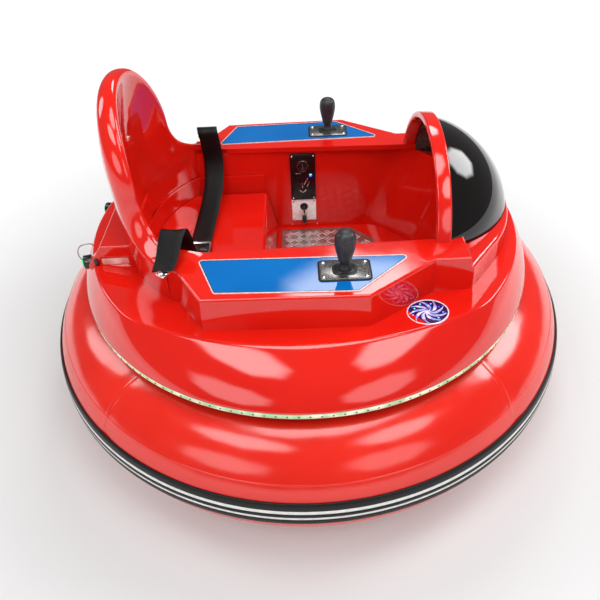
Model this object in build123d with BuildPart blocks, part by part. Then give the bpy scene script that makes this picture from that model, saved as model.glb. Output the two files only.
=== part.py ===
from build123d import *
from math import atan2, cos, degrees, hypot, pi, radians, sin
import os

os.makedirs("parts", exist_ok=True)

# One-seat fairground bumper car with an inflatable ring. Sizes are in millimetres.
# X points forward, Y to the driver's left and Z up from the floor under the ring's centre.

fit = 0.3  # gap between pieces whose curved or soft faces meet

# Inflatable ring, its rubber belt and the straps that hold it
ring_radius = 463.5
tube_radius = 136.0
ring_height = 147.0
belt_thickness = 4.0
belt_low = 133.0
belt_high = 190.0
# White lines on the belt: height of the middle, width
belt_line_table = ((152.5, 7.0), (169.5, 9.0))
line_depth = 1.5
strap_count = 8
strap_width = 40.0
strap_thickness = 3.0
strap_inset = 6.0
strap_patch = 70.0
ring_inner = ring_radius - tube_radius

# Moulded body: skirt, deck and the band of lights under its lower edge
body_wall = 7.0
skirt_wall = 10.0
skirt_low = 317.3
crease_height = 395.0
skirt_radius = 500.0
skirt_bulge = 0.45  # steepness at the lower edge, 1 for a straight cone
skirt_spans = 3
# One quadrant of the deck crease: angle from the nose or tail, radius. Odd rows end an arc
crease_quadrant = (
    (0.0, 465.0),
    (20.4, 464.4),
    (40.8, 463.5),
    (44.35, 461.5),
    (47.9, 455.3),
    (69.0, 419.5),
    (90.0, 408.0),
)
deck_rise = 11.0
deck_band = 70.0
deck_height = crease_height - deck_rise
led_height = 13.3
led_thickness = 7.0

# Upper hull: armrests and cowl. Plan points (x, y) of its left side, rear to front
hull_side = (
    (-290.0, 250.0),
    (-243.0, 270.0),
    (-190.0, 356.0),
    (116.0, 361.0),
    (248.0, 267.0),
    (322.0, 267.0),
    (392.0, 180.0),
)
hull_rear = -262.0
hull_rear_half = 262.0
hull_draft = 6.0
hull_round = 5.0
cowl_nose = 450.0
cowl_top = 440.0
cowl_round = 9.0
armrest_top = 457.0
armrest_end = 314.0
lip_height = 445.0
lip_half = 214.0
lip_end_half = 196.0
deck_margin = 20.0

# Cockpit well: half width, shoulder, nose and nose half width at the floor and at the deck
floor_height = 223.0
floor_thickness = 5.0
well_wall = 6.0
well_margin = 42.5
well_floor = (200.0, ring_inner - well_margin - 90, ring_inner - well_margin, 110.0)
well_deck = (210.0, 258.0, 340.0, 110.0)
well_rear = -94.0
well_round = 90.0

# Seat back: a curved wall about an upright axis, cut to a rounded outline, leaning in at the top
back_front = hull_rear - fit
back_axis = -70.0
back_radius = hypot(hull_rear_half, back_front - back_axis)
back_wall = 38.0
back_top = 728.0
back_lean = 26.0
bend_height = 575.0
shoulder_radius = 176.0
flare_radius = 105.0
rim_sink = 6.0
rim_round = 17.0
cheek_length = 54.0
cheek_top = armrest_top + 21

# Seat
seat_shelf = 331.0
seat_sheet = 7.0
seat_top = seat_shelf + seat_sheet
seat_front = -90.0
seat_toe = -65.0
seat_half = 196.0
seat_round = 12.0
seat_box_half = 203.0
seat_rear = back_axis - hypot(seat_box_half, back_front - back_axis)

# Arch and dome, parts of one sphere
dome_x = 229.0
dome_height = 385.0
dome_radius = 221.0
dome_wall = 4.0
liner_wall = 3.0
arch_rear = 256.0
arch_front = 285.0
arch_proud = 2.0
arch_rim = 14.0
arch_round = 4.0

# Rear block over the battery bay
tail_half = 155.0
tail_top = 440.0
tail_edge = -415.0
tail_foot = -450.0
tail_panel = (44.0, 22.0, 4.0)

# Tread plate on the cockpit floor
tread_rear = -58.0
tread_front = 185.0
tread_half = 186.0
tread_thickness = 3.0
tread_round = 6.0

# Controls
panel_thickness = 1.2
panel_points = ((-201.0, 237.0), (-163.0, 333.0), (95.0, 341.0), (200.0, 245.0))
panel_round = 6.0
stick_x = 73.0
stick_y = 284.0
plate_length = 98.0
plate_width = 60.0
plate_round = 8.0
plate_thickness = 3.0
plate_screw_x = 78.0
plate_screw_y = 42.0
plate_screw_radius = 2.5
boss_length = 46.0
boss_width = 36.0
boss_height = 4.0
boss_taper = 20.0
knob_radius = 19.5
neck_radius = 9.0
stick_height = 81.0

# Coin acceptor and key panel on the left wall
coin_width = 64.0
coin_height = 127.0
coin_x = 5.0
coin_low = 309.0
coin_corner = 3.0
coin_button = 14.0
coin_button_share = 0.75
coin_button_height = 4.0
key_panel_height = 62.0
key_share = 0.66
wall_fitting = 6.0
key_barrel = 9.0
barrel_height = 5.0
key_blade = (3.0, 9.0, 8.0)
key_bow = (3.0, 22.0, 18.0)

# Lamps
fan_x = 224.0
fan_y = 331.0
fan_radius = 38.5
fan_height = 389.5
fan_depth = 6.0
fan_bezel = 3.5
fan_base = 4.0
vane_height = 2.2
vane_hub = 6.5
vane_sweep = 52.0
fan_blades = 8
tail_lamp_angle = 12.6
tail_lamp_drop = 29.0
tail_lamp_proud = 9.0
tail_lamp_radius = 15.0
tail_lamp_length = 14.0
tail_lens = 4.0

# Seat belt: routes (y, z) of the left and right webbing from anchor to buckle
web_width = 48.0
web_thickness = 2.4
web_bend = 12.0
web_x = -236.0
web_anchor = 264.0
web_lift = 3.0
web_high = armrest_top + fit + web_thickness / 2 + web_lift
buckle_size = (52.0, 58.0, 16.0)
buckle_round = 6.0
buckle_y = -30.0
buckle_lift = 2.5
web_low = seat_top + buckle_lift + buckle_size[2] / 2
belt_routes = {
    "left": (
        (web_anchor, web_high),
        (236.0, web_high + 2),
        (206.0, 500.0),
        (200.0, 412.0),
        (145.0, 362.0),
        (buckle_y, web_low),
    ),
    "right": (
        (web_anchor, web_high),
        (236.0, web_high + 2),
        (204.0, 502.0),
        (196.0, 420.0),
        (150.0, web_low + 2),
        (buckle_size[1] + 4 * fit - buckle_y, web_low),
    ),
}
anchor_length = 24.0
anchor_thickness = 3.0
anchor_round = 5.0

# Chassis
tube_size = 30.0
frame_low = 184.0
tray_thickness = 4.0
tray_low = frame_low + tube_size
tray_gap = 27.5  # to the inside of the ring
tray_radius = ring_inner - tray_gap
drive_rail_x = 60.0

# Drive wheels, as far out as the ring lets them stand
drive_radius = 100.0
drive_width = 50.0
drive_rim = 62.0
wheel_inset = 87.5
drive_y = ring_inner - wheel_inset
drive_shaft = 10.0
hub_boss = 24.0
hub_half = 30.0
hub_web = 9.0
hub_cap = 6.0
rim_half = 21.0
rim_lip = 4.0
tyre_round = 9.0
gearbox_half = 44.7
gearbox_length = 68.0
gearbox_gap = 37.0  # from the wheel's middle
gearbox_out = drive_y - gearbox_gap
gearbox_in = gearbox_out - gearbox_length
gearbox_round = 8.0
shaft_end = gearbox_in + 15
motor_radius = 42.0
motor_in = 20.0
bracket_thickness = 6.0
shaft_clearance = 0.05

# Frame corners: half length and its half width at the ends, the same at the sides
frame_side = ((tray_radius - tube_size, 110.0), (170.0, drive_y - drive_width))

# Casters
caster_inset = 105.0
rail_step = 60.0
caster_x = tray_radius - caster_inset
caster_rail_x = caster_x - rail_step
caster_radius = 75.0
caster_width = 40.0
caster_rim = 48.0
caster_web = 12.0
caster_trail = 45.0
caster_plate_x = 140.0
caster_plate_y = 100.0
caster_plate_z = 6.0
caster_bolt_x = 105.0
caster_bolt_y = 75.0
caster_bolt_radius = 4.5
fork_gap = 50.0
fork_wall = 5.0
kingpin_radius = 8.0
kingpin_length = 13.0
bearing_radius = 25.0
bearing_height = 17.0
bearing_gap = 0.5
crown_thickness = 6.0
axle_radius = 6.0
axle_end = 4.0
axle_boss = 16.0
plate_corner = 6.0
crown_round = 12.0
wheel_edge = 6.0
battery_box = (-262.0, -112.0, 160.0, 104.0)


def save(piece, label):
    piece.part.label = label
    export_step(piece.part, f"parts/{label}.step")


def body_outline(share, grow):
    # Between the lights' circle, share 0, and the deck crease, share 1
    first = [(a, skirt_radius + share * (r - skirt_radius) + grow) for a, r in crease_quadrant]
    second = [(180 - a, r) for a, r in reversed(first[:-1])]
    half = first + second
    full = half + [(360 - a, r) for a, r in reversed(half[1:-1])] + half[:1]
    spots = [(r * cos(radians(a)), r * sin(radians(a))) for a, r in full]
    with BuildSketch() as outline:
        with BuildLine():
            for i in range(0, len(spots) - 1, 2):
                ThreePointArc(*spots[i : i + 3])
        make_face()
    return outline.sketch


def mirrored(points):
    return [(x, -y) for x, y in reversed(points)]


def polygon(side):
    # A plan outline from the points of its left side
    with BuildSketch() as plan:
        with BuildLine():
            Polyline(*side, *mirrored(side), close=True)
        make_face()
    return plan.sketch


def hull_plan(inset):
    # Hull outline on the deck, or its upper edge where the walls lean in by inset
    last = hull_side[-1]
    with BuildSketch() as plan:
        with BuildLine():
            Polyline(*hull_side)
            ThreePointArc(last, (cowl_nose, 0), (last[0], -last[1]))
            Polyline(*mirrored(hull_side))
            Line((hull_side[0][0], -hull_side[0][1]), hull_side[0])
        make_face()
        if inset:
            offset(amount=-inset, kind=Kind.INTERSECTION)
        with Locations((hull_rear, 0)):
            Rectangle(2 * cowl_nose, 2 * cowl_nose, align=(Align.MIN, Align.CENTER), mode=Mode.INTERSECT)
    return plan.sketch


def back_plan():
    # Footprint of the seat back's curved wall and of all that it encloses
    with BuildSketch() as plan:
        with Locations((back_axis, 0)):
            Circle(back_radius)
        with Locations((back_front, 0)):
            Rectangle(back_radius, 2 * back_radius, align=(Align.MAX, Align.CENTER), mode=Mode.INTERSECT)
    return plan.sketch


def body_plan(grow):
    # Footprint of hull and seat back together on the deck
    with BuildSketch() as plan:
        add(hull_plan(0))
        add(back_plan())
        with Locations((back_front, 0)):
            Rectangle(4 * fit, 2 * hull_rear_half)
        offset(amount=grow, kind=Kind.INTERSECTION)
    return plan.sketch


def well_plan(height, rear, grow):
    # The cockpit's outline at a height, from its floor and deck sizes
    share = (height - floor_height) / (deck_height - floor_height)
    half, shoulder, nose, nose_half = (a + share * (b - a) for a, b in zip(well_floor, well_deck))
    side = (
        (rear, half + grow),
        (shoulder + grow / 2, half + grow),
        (nose + grow, nose_half + grow / 2),
    )
    with BuildSketch() as plan:
        add(polygon(side))
        fillet(plan.vertices().filter_by(lambda v: v.X > rear + 1), radius=well_round + grow)
    return plan.sketch


def skirt_solid(grow, low, top):
    # Bulging loft from the lights' circle to the deck crease, larger or smaller all round by grow
    with BuildPart() as skirt:
        for i in range(skirt_spans + 1):
            height = low + i * (top - low) / skirt_spans
            rise = (height - skirt_low) / (crease_height - skirt_low)
            with BuildSketch(Plane.XY.offset(height)):
                add(body_outline(rise * (skirt_bulge + (1 - skirt_bulge) * rise), grow))
        loft()
    return skirt.part


def seat_box(grow):
    # Plan of the seat's recess, round at the back
    half = seat_box_half + grow
    with BuildSketch() as plan:
        with BuildLine():
            ThreePointArc((back_front, half), (seat_rear - grow, 0), (back_front, -half))
            Polyline((back_front, -half), (seat_front, -half), (seat_front, half), (back_front, half))
        make_face()
    return plan.sketch


def back_outline():
    # Seat back from the front: a round top that flares out to the armrests
    shoulder = back_top - shoulder_radius
    flare = armrest_top + flare_radius - rim_sink
    reach = ((shoulder_radius + flare_radius) ** 2 - (flare - shoulder) ** 2) ** 0.5
    share = shoulder_radius / (shoulder_radius + flare_radius)
    join = (reach * share, shoulder + (flare - shoulder) * share)
    turn = (pi + atan2(flare - join[1], reach - join[0]) + 1.5 * pi) / 2
    middle = (reach + flare_radius * cos(turn), flare + flare_radius * sin(turn))
    foot = (reach, flare - flare_radius)
    with BuildSketch() as outline:
        with BuildLine():
            ThreePointArc((-join[0], join[1]), (0, back_top), join)
            ThreePointArc(join, middle, foot)
            Polyline(foot, (reach, deck_height), (-reach, deck_height), (-foot[0], foot[1]))
            ThreePointArc((-foot[0], foot[1]), (-middle[0], middle[1]), (-join[0], join[1]))
        make_face()
    return outline.sketch


def dome_ball(grow, rear, low):
    # The part of the dome's sphere in front of a plane and above a height
    with BuildPart() as ball:
        with Locations((dome_x, 0, dome_height)):
            Sphere(dome_radius + grow)
        side = 3 * dome_radius
        with Locations((rear, 0, low)):
            Box(side, side, side, align=(Align.MIN, Align.CENTER, Align.MIN), mode=Mode.INTERSECT)
    return ball.part


def fan_plane(sign):
    # Floor of a fan lamp's pocket, square to the sloping deck
    reach = hypot(fan_x, fan_y)
    out_x, out_y = fan_x / reach, sign * fan_y / reach
    slope = atan2(deck_rise, deck_band)
    normal = Vector(-sin(slope) * out_x, -sin(slope) * out_y, cos(slope))
    return Plane(Vector(fan_x, sign * fan_y, fan_height) - normal * fan_depth, z_dir=normal)


def wall_plane(x, height):
    # The left inner wall of the cockpit, seen from inside, up along local Y
    lean = (well_deck[0] - well_floor[0]) / (deck_height - floor_height)
    y = well_floor[0] + (height - floor_height) * lean - fit
    return Plane((x, y, height), x_dir=(1, 0, 0), z_dir=(0, -1, lean))


def tail_plane(sign):
    # Front of a tail lamp's housing, square to the skirt and just proud of it
    rise = 1 - tail_lamp_drop / (crease_height - skirt_low)
    share = rise * (skirt_bulge + (1 - skirt_bulge) * rise)
    reach = skirt_radius + share * (crease_quadrant[0][1] - skirt_radius) + tail_lamp_proud
    turn = radians(tail_lamp_angle)
    out = Vector(-cos(turn), sign * sin(turn), 0)
    return Plane(out * reach + Vector(0, 0, crease_height - tail_lamp_drop), z_dir=out)


def vane(reach):
    # One swept vane, widening from the hub to the rim
    root = 0.8 * vane_hub
    wide = 0.55 * 2 * pi / fan_blades
    sweep_angle = radians(vane_sweep)

    def spot(radius, angle):
        return (radius * cos(angle), radius * sin(angle))

    with BuildSketch() as blade:
        with BuildLine():
            ThreePointArc(spot(root, 0), spot(reach / 2, 0.62 * sweep_angle), spot(reach, sweep_angle))
            ThreePointArc(
                spot(reach, sweep_angle),
                spot(reach, sweep_angle + wide / 2),
                spot(reach, sweep_angle + wide),
            )
            ThreePointArc(
                spot(reach, sweep_angle + wide),
                spot(reach / 2, 0.62 * sweep_angle + 0.9 * wide),
                spot(root, 0.8 * wide),
            )
            Line(spot(root, 0.8 * wide), spot(root, 0))
        make_face()
    return blade.sketch


def octagon():
    (end_x, end_y), (side_x, side_y) = frame_side
    return polygon(((-end_x, end_y), (-side_x, side_y), (side_x, side_y), (end_x, end_y)))


# Inflatable ring
with BuildPart() as bumper_ring:
    with BuildSketch(Plane.XZ):
        with Locations((ring_radius, ring_height)):
            Circle(tube_radius)
    revolve(axis=Axis.Z)
save(bumper_ring, "bumper_ring")

def belt_band(depth, inner, spans):
    # Section of the belt between two depths under its face, over some spans of height
    with BuildSketch(Plane.XZ) as band:
        with Locations((ring_radius, ring_height)):
            Circle(tube_radius + belt_thickness - depth)
            Circle(inner, mode=Mode.SUBTRACT)
        with Locations(*[(ring_radius, middle) for middle, _ in spans]):
            Rectangle(
                2 * tube_radius,
                spans[0][1],
                align=(Align.MIN, Align.CENTER),
                mode=Mode.INTERSECT,
            )
    return band.sketch


# Rubber belt, with a groove for each white line
belt_span = ((belt_low + belt_high) / 2, belt_high - belt_low)
with BuildPart() as bumper_belt:
    add(belt_band(0, tube_radius + fit, (belt_span,)))
    revolve(axis=Axis.Z)
    for span in belt_line_table:
        add(belt_band(-1, tube_radius + belt_thickness - line_depth, (span,)))
        revolve(axis=Axis.Z, mode=Mode.SUBTRACT)
save(bumper_belt, "bumper_belt")

with BuildPart() as belt_lines:
    for span in belt_line_table:
        add(belt_band(0, tube_radius + belt_thickness - line_depth, (span,)))
        revolve(axis=Axis.Z)
save(belt_lines, "belt_lines")

# Skirt and deck, dished towards the hull, with a recess for the hull's foot
with BuildPart() as lower_body:
    add(skirt_solid(0, skirt_low, crease_height))
    with BuildSketch(Plane.XY.offset(deck_height)):
        add(body_outline(1, -deck_band))
    with BuildSketch(Plane.XY.offset(crease_height)):
        add(body_outline(1, 0))
    loft(ruled=True, mode=Mode.SUBTRACT)
    tail_front = back_axis - back_radius + back_wall
    tail_low = deck_height - body_wall
    with BuildSketch(Plane.XZ.offset(-tail_half)):
        with BuildLine():
            Polyline(
                (tail_front, tail_low),
                (tail_front, tail_top),
                (tail_edge, tail_top),
                (tail_foot, crease_height - deck_rise / 4),
                (tail_foot, tail_low),
                close=True,
            )
        make_face()
    extrude(amount=2 * tail_half)
    panel_length, panel_height, panel_depth = tail_panel
    for sign in (1, -1):
        with BuildSketch(Plane.XZ.offset(-sign * tail_half)):
            with Locations((tail_edge, (crease_height + tail_top) / 2)):
                RectangleRounded(panel_length, panel_height, panel_depth)
        extrude(amount=sign * panel_depth, mode=Mode.SUBTRACT)
    with BuildSketch(Plane.XY.offset(deck_height)):
        add(body_plan(fit))
    extrude(amount=armrest_top, mode=Mode.SUBTRACT)
    add(skirt_solid(-skirt_wall, skirt_low - skirt_wall, deck_height - body_wall), mode=Mode.SUBTRACT)
    with BuildSketch(Plane.XY.offset(skirt_low)):
        add(body_plan(-deck_margin))
    extrude(amount=armrest_top, mode=Mode.SUBTRACT)
    for sign in (1, -1):
        with BuildSketch(fan_plane(sign)):
            Circle(fan_radius + fit)
        extrude(amount=2 * fan_depth, mode=Mode.SUBTRACT)
save(lower_body, "lower_body")

# Band of lights under the skirt's edge
with BuildPart() as led_strip:
    with BuildSketch(Plane.XY.offset(skirt_low - led_height)):
        Circle(skirt_radius)
        Circle(skirt_radius - led_thickness, mode=Mode.SUBTRACT)
    extrude(amount=led_height)
save(led_strip, "led_strip")

# Cheeks that carry the seat back's rim down into the armrests
cheek_low = armrest_top - well_wall
cheek_width = hull_rear_half - hull_draft - lip_half
with BuildPart() as cheeks:
    with BuildSketch(Plane.YZ.offset(hull_rear)):
        with GridLocations(2 * lip_half + cheek_width, 1, 2, 1):
            with Locations((0, cheek_low)):
                Rectangle(cheek_width, flare_radius, align=(Align.CENTER, Align.MIN))
        add(back_outline(), mode=Mode.INTERSECT)
    extrude(amount=cheek_length)
    with BuildSketch(Plane.XZ.offset(-hull_rear_half)):
        with BuildLine():
            Polyline(
                (hull_rear, cheek_low),
                (hull_rear, cheek_top),
                (hull_rear + cheek_length, armrest_top),
                (hull_rear + cheek_length, cheek_low),
                close=True,
            )
        make_face()
    extrude(amount=2 * hull_rear_half, mode=Mode.INTERSECT)

# Hull with armrests and cowl, hollow from below, open over the cockpit
armrest_cut = 2 * cowl_nose
with BuildPart() as upper_hull:
    for height, inset in ((deck_height, 0), (armrest_top, hull_draft)):
        with BuildSketch(Plane.XY.offset(height)):
            add(hull_plan(inset))
    loft(ruled=True)
    with BuildSketch(Plane.XY.offset(cowl_top)):
        with Locations((armrest_end, 0)):
            Rectangle(cowl_nose, armrest_cut, align=(Align.MIN, Align.CENTER))
    extrude(amount=armrest_top, mode=Mode.SUBTRACT)
    cowl_rim = upper_hull.edges().filter_by_position(Axis.Z, cowl_top - 1, cowl_top + 1)
    fillet(cowl_rim.filter_by(lambda e: e.center().X > armrest_end + 1), radius=cowl_round)
    armrest_rim = upper_hull.edges().group_by(Axis.Z)[-1]
    fillet(armrest_rim.filter_by(lambda e: e.center().X > hull_rear + 1), radius=hull_round)
    for ceiling, end in ((cowl_top, cowl_nose), (armrest_top, armrest_end)):
        with BuildSketch(Plane.XY.offset(deck_height)):
            add(hull_plan(hull_draft + well_wall))
            add(well_plan(lip_height, hull_rear, well_wall), mode=Mode.SUBTRACT)
            with Locations((end - well_wall, 0)):
                Rectangle(
                    armrest_cut,
                    armrest_cut,
                    align=(Align.MIN, Align.CENTER),
                    mode=Mode.SUBTRACT,
                )
        extrude(amount=ceiling - well_wall - deck_height, mode=Mode.SUBTRACT)
    for height in (deck_height, lip_height):
        with BuildSketch(Plane.XY.offset(height)):
            add(well_plan(height, hull_rear, 0))
    loft(ruled=True, mode=Mode.SUBTRACT)
    with BuildSketch(Plane.XY.offset(cowl_top)):
        add(polygon(((hull_rear, lip_half), (arch_front, lip_end_half))))
    extrude(amount=armrest_top, mode=Mode.SUBTRACT)
    add(dome_ball(fit, arch_front, cowl_top), mode=Mode.SUBTRACT)
    add(cheeks.part)
save(upper_hull, "upper_hull")

# Cockpit tub: foot well, seat box behind it and the flange under the deck
flange_low = deck_height - body_wall - well_wall
with BuildPart() as cockpit_tub:
    for height in (floor_height - floor_thickness, deck_height):
        with BuildSketch(Plane.XY.offset(height)):
            add(well_plan(height, well_rear - well_wall, well_wall))
    loft(ruled=True)
    with BuildSketch(Plane.XY.offset(seat_shelf - well_wall)):
        add(seat_box(well_wall))
    extrude(amount=deck_height - seat_shelf + well_wall)
    with BuildSketch(Plane.XY.offset(flange_low)):
        add(body_plan(-deck_margin / 4))
    extrude(amount=well_wall)
    for height in (floor_height, deck_height):
        with BuildSketch(Plane.XY.offset(height)):
            add(well_plan(height, well_rear, 0))
    loft(ruled=True, mode=Mode.SUBTRACT)
    with BuildSketch(Plane.XY.offset(seat_shelf)):
        add(seat_box(0))
    extrude(amount=deck_height, mode=Mode.SUBTRACT)
save(cockpit_tub, "cockpit_tub")

# Seat: one bent sheet, rounded over its front edge
with BuildPart() as seat_base:
    with BuildSketch(Plane.XZ.offset(-seat_half)) as seat_side:
        with BuildLine():
            Polyline(
                (seat_rear, seat_shelf),
                (seat_rear, seat_top),
                (seat_front, seat_top),
                (seat_toe, floor_height),
                (seat_toe - seat_sheet, floor_height),
                (seat_front - seat_sheet / 2, seat_shelf),
                close=True,
            )
        make_face()
        fillet(seat_side.vertices().sort_by_distance((seat_front, seat_top))[0], radius=seat_round)
    extrude(amount=2 * seat_half)
    with BuildSketch(Plane.XY.offset(seat_shelf)):
        with Locations((seat_front, 0)):
            Rectangle(armrest_cut, armrest_cut, align=(Align.MAX, Align.CENTER))
        add(seat_box(-fit), mode=Mode.SUBTRACT)
    extrude(amount=seat_top, mode=Mode.SUBTRACT)
save(seat_base, "seat_base")

# Seat back: a curved wall with a rolled rim
with BuildPart() as seat_back:
    wall_out = back_axis - back_radius
    with BuildSketch(Plane.XZ):
        with BuildLine():
            for x in (wall_out, wall_out + back_wall):
                Line((x, deck_height), (x, bend_height))
                ThreePointArc(
                    (x, bend_height),
                    (x + back_lean / 4, (bend_height + back_top) / 2),
                    (x + back_lean, back_top),
                )
            Line((wall_out, deck_height), (wall_out + back_wall, deck_height))
            Line((wall_out + back_lean, back_top), (wall_out + back_lean + back_wall, back_top))
        make_face()
    revolve(axis=Axis((back_axis, 0, 0), (0, 0, 1)))
    with BuildSketch(Plane.YZ.offset(back_front)):
        add(back_outline())
    extrude(amount=-back_radius, mode=Mode.INTERSECT)
    fillet(seat_back.edges().filter_by(GeomType.BSPLINE), radius=rim_round)
save(seat_back, "seat_back")

# Windscreen arch on the hull, and the dome in front of it with its liner
with BuildPart() as windscreen_arch:
    with BuildSketch(Plane.YZ.offset(arch_rear)):
        with Locations((0, dome_height)):
            Circle(dome_radius + arch_proud)
            Circle(dome_radius + arch_proud - arch_rim, mode=Mode.SUBTRACT)
        with Locations((0, armrest_top)):
            side = 3 * dome_radius
            Rectangle(side, side, align=(Align.CENTER, Align.MAX), mode=Mode.SUBTRACT)
    extrude(amount=arch_front - fit - arch_rear)
    fillet(windscreen_arch.edges().filter_by(GeomType.CIRCLE), radius=arch_round)
save(windscreen_arch, "windscreen_arch")

with BuildPart() as dome:
    add(dome_ball(0, arch_front, cowl_top))
    add(dome_ball(-dome_wall, arch_front - dome_wall, cowl_top - dome_wall), mode=Mode.SUBTRACT)
save(dome, "dome")

with BuildPart() as dome_liner:
    add(dome_ball(-dome_wall - fit, arch_front, cowl_top))
    inner = -dome_wall - fit - liner_wall
    add(dome_ball(inner, arch_front - dome_wall, cowl_top - dome_wall), mode=Mode.SUBTRACT)
save(dome_liner, "dome_liner")

# Tread plate on the cockpit floor
with BuildPart() as tread_plate:
    with BuildSketch(Plane.XY.offset(floor_height)):
        with Locations(((tread_rear + tread_front) / 2, 0)):
            RectangleRounded(tread_front - tread_rear, 2 * tread_half, tread_round)
    extrude(amount=tread_thickness)
save(tread_plate, "tread_plate")

# Armrest panels and twin control sticks
panel_top = armrest_top + panel_thickness
for side, sign in (("left", 1), ("right", -1)):
    with BuildPart() as armrest_panel:
        with BuildSketch(Plane.XY.offset(armrest_top)) as panel:
            with BuildLine():
                Polyline(*[(x, sign * y) for x, y in panel_points], close=True)
            make_face()
            fillet(panel.vertices(), radius=panel_round)
        extrude(amount=panel_thickness)
    save(armrest_panel, f"armrest_panel_{side}")

    with BuildPart() as stick_plate:
        with BuildSketch(Plane.XY.offset(panel_top)):
            with Locations((stick_x, sign * stick_y)):
                RectangleRounded(plate_length, plate_width, plate_round)
                with GridLocations(plate_screw_x, plate_screw_y, 2, 2):
                    Circle(plate_screw_radius, mode=Mode.SUBTRACT)
        extrude(amount=plate_thickness)
        with BuildSketch(Plane.XY.offset(panel_top + plate_thickness)):
            with Locations((stick_x, sign * stick_y)):
                RectangleRounded(boss_length, boss_width, plate_round)
        extrude(amount=boss_height, taper=boss_taper)
    save(stick_plate, f"stick_plate_{side}")

    stick_foot = panel_top + plate_thickness + boss_height
    stick_tip = stick_foot + stick_height
    knob_middle = stick_tip - knob_radius
    with BuildPart() as control_stick:
        with BuildSketch(Plane.XZ.offset(-sign * stick_y)):
            with BuildLine():
                Polyline(
                    (stick_x, stick_foot),
                    (stick_x + 1.4 * neck_radius, stick_foot),
                    (stick_x + neck_radius, stick_foot + neck_radius),
                    (stick_x + neck_radius, stick_foot + 1.6 * neck_radius),
                    (stick_x + 0.9 * knob_radius, knob_middle - 1.1 * knob_radius),
                )
                Spline(
                    (stick_x + 0.9 * knob_radius, knob_middle - 1.1 * knob_radius),
                    (stick_x + knob_radius, knob_middle),
                    (stick_x, stick_tip),
                    tangents=((0.18, 1), (-1, 0)),
                )
                Line((stick_x, stick_tip), (stick_x, stick_foot))
            make_face()
        revolve(axis=Axis((stick_x, sign * stick_y, 0), (0, 0, 1)))
    save(control_stick, f"control_stick_{side}")

# Coin acceptor and key panel on the left wall
button_height = coin_low + coin_height * coin_button_share
with BuildPart() as coin_acceptor:
    with BuildSketch(wall_plane(coin_x, coin_low + coin_height / 2)):
        RectangleRounded(coin_width, coin_height, coin_corner)
    extrude(amount=wall_fitting)
    with BuildSketch(wall_plane(coin_x, button_height).offset(wall_fitting)):
        Circle(coin_button)
    extrude(amount=coin_button_height)
save(coin_acceptor, "coin_acceptor")

key_panel_low = coin_low - key_panel_height - 1
key_height = key_panel_low + key_panel_height * key_share
with BuildPart() as key_panel:
    with BuildSketch(wall_plane(coin_x, key_panel_low + key_panel_height / 2)):
        RectangleRounded(coin_width, key_panel_height, coin_corner)
    extrude(amount=wall_fitting / 2)
    with BuildSketch(wall_plane(coin_x, key_height).offset(wall_fitting / 2)):
        Circle(key_barrel)
    extrude(amount=barrel_height)
save(key_panel, "key_panel")

# Key in the lock: a blade and then the bow, thickness, height and length each
with BuildPart() as keys:
    key_start = wall_fitting / 2 + barrel_height
    for thickness, height, length in (key_blade, key_bow):
        with BuildSketch(wall_plane(coin_x, key_height).offset(key_start)):
            Rectangle(thickness, height)
        extrude(amount=length)
        key_start += length
save(keys, "keys")

# Seat belt: webbing from an anchor on each flank, over the rim to the buckle
for side, sign in (("left", 1), ("right", -1)):
    with BuildPart() as seat_belt:
        with BuildLine(Plane.YZ.offset(web_x)) as webbing:
            FilletPolyline(*[(sign * y, z) for y, z in belt_routes[side]], radius=web_bend)
        with BuildSketch(Plane(webbing.line @ 0, x_dir=(1, 0, 0), z_dir=webbing.line % 0)):
            Rectangle(web_width, web_thickness)
        sweep()
    save(seat_belt, f"seat_belt_{side}")

with BuildPart() as belt_buckle:
    with Locations((web_x, buckle_y - 2 * fit - buckle_size[1] / 2, web_low)):
        Box(*buckle_size)
    fillet(belt_buckle.edges().filter_by(Axis.Z), radius=buckle_round)
save(belt_buckle, "belt_buckle")

with BuildPart() as belt_anchors:
    with BuildSketch(Plane.XY.offset(armrest_top)):
        with GridLocations(0, 2 * (web_anchor + anchor_length / 2 + fit), 1, 2):
            with Locations((web_x, 0)):
                RectangleRounded(web_width, anchor_length, anchor_round)
    extrude(amount=web_high + anchor_thickness - armrest_top)
save(belt_anchors, "belt_anchors")

# Fan lamps on the deck: a bezelled dish with eight swept vanes
for side, sign in (("left", 1), ("right", -1)):
    lamp_floor = fan_plane(sign)
    with BuildPart() as fan_lamp:
        with BuildSketch(lamp_floor):
            Circle(fan_radius)
        extrude(amount=fan_base)
        with BuildSketch(lamp_floor.offset(fan_base)):
            Circle(fan_radius)
            Circle(fan_radius - fan_bezel, mode=Mode.SUBTRACT)
        extrude(amount=fan_depth + vane_height - fan_base)
    save(fan_lamp, f"fan_lamp_{side}")

    vane_reach = fan_radius - fan_bezel - 1
    with BuildPart() as fan_vanes:
        with BuildSketch(lamp_floor.offset(fan_base)):
            Circle(vane_reach)
        extrude(amount=vane_height / 2)
        with BuildSketch(lamp_floor.offset(fan_base + vane_height / 2)):
            Circle(vane_hub)
            with PolarLocations(0, fan_blades):
                add(vane(vane_reach))
        extrude(amount=vane_height)
    save(fan_vanes, f"fan_vanes_{side}")

# Tail lamps on the skirt
with BuildPart() as tail_lamps:
    for sign in (1, -1):
        with BuildSketch(tail_plane(sign)):
            Circle(tail_lamp_radius)
        extrude(amount=-2 * tail_lamp_length)
    add(skirt_solid(fit, skirt_low, crease_height), mode=Mode.SUBTRACT)
save(tail_lamps, "tail_lamps")

with BuildPart() as tail_lenses:
    for sign in (1, -1):
        with BuildSketch(tail_plane(sign)):
            Circle(tail_lamp_radius * 0.8)
        extrude(amount=tail_lens, taper=25)
save(tail_lenses, "tail_lenses")

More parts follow.
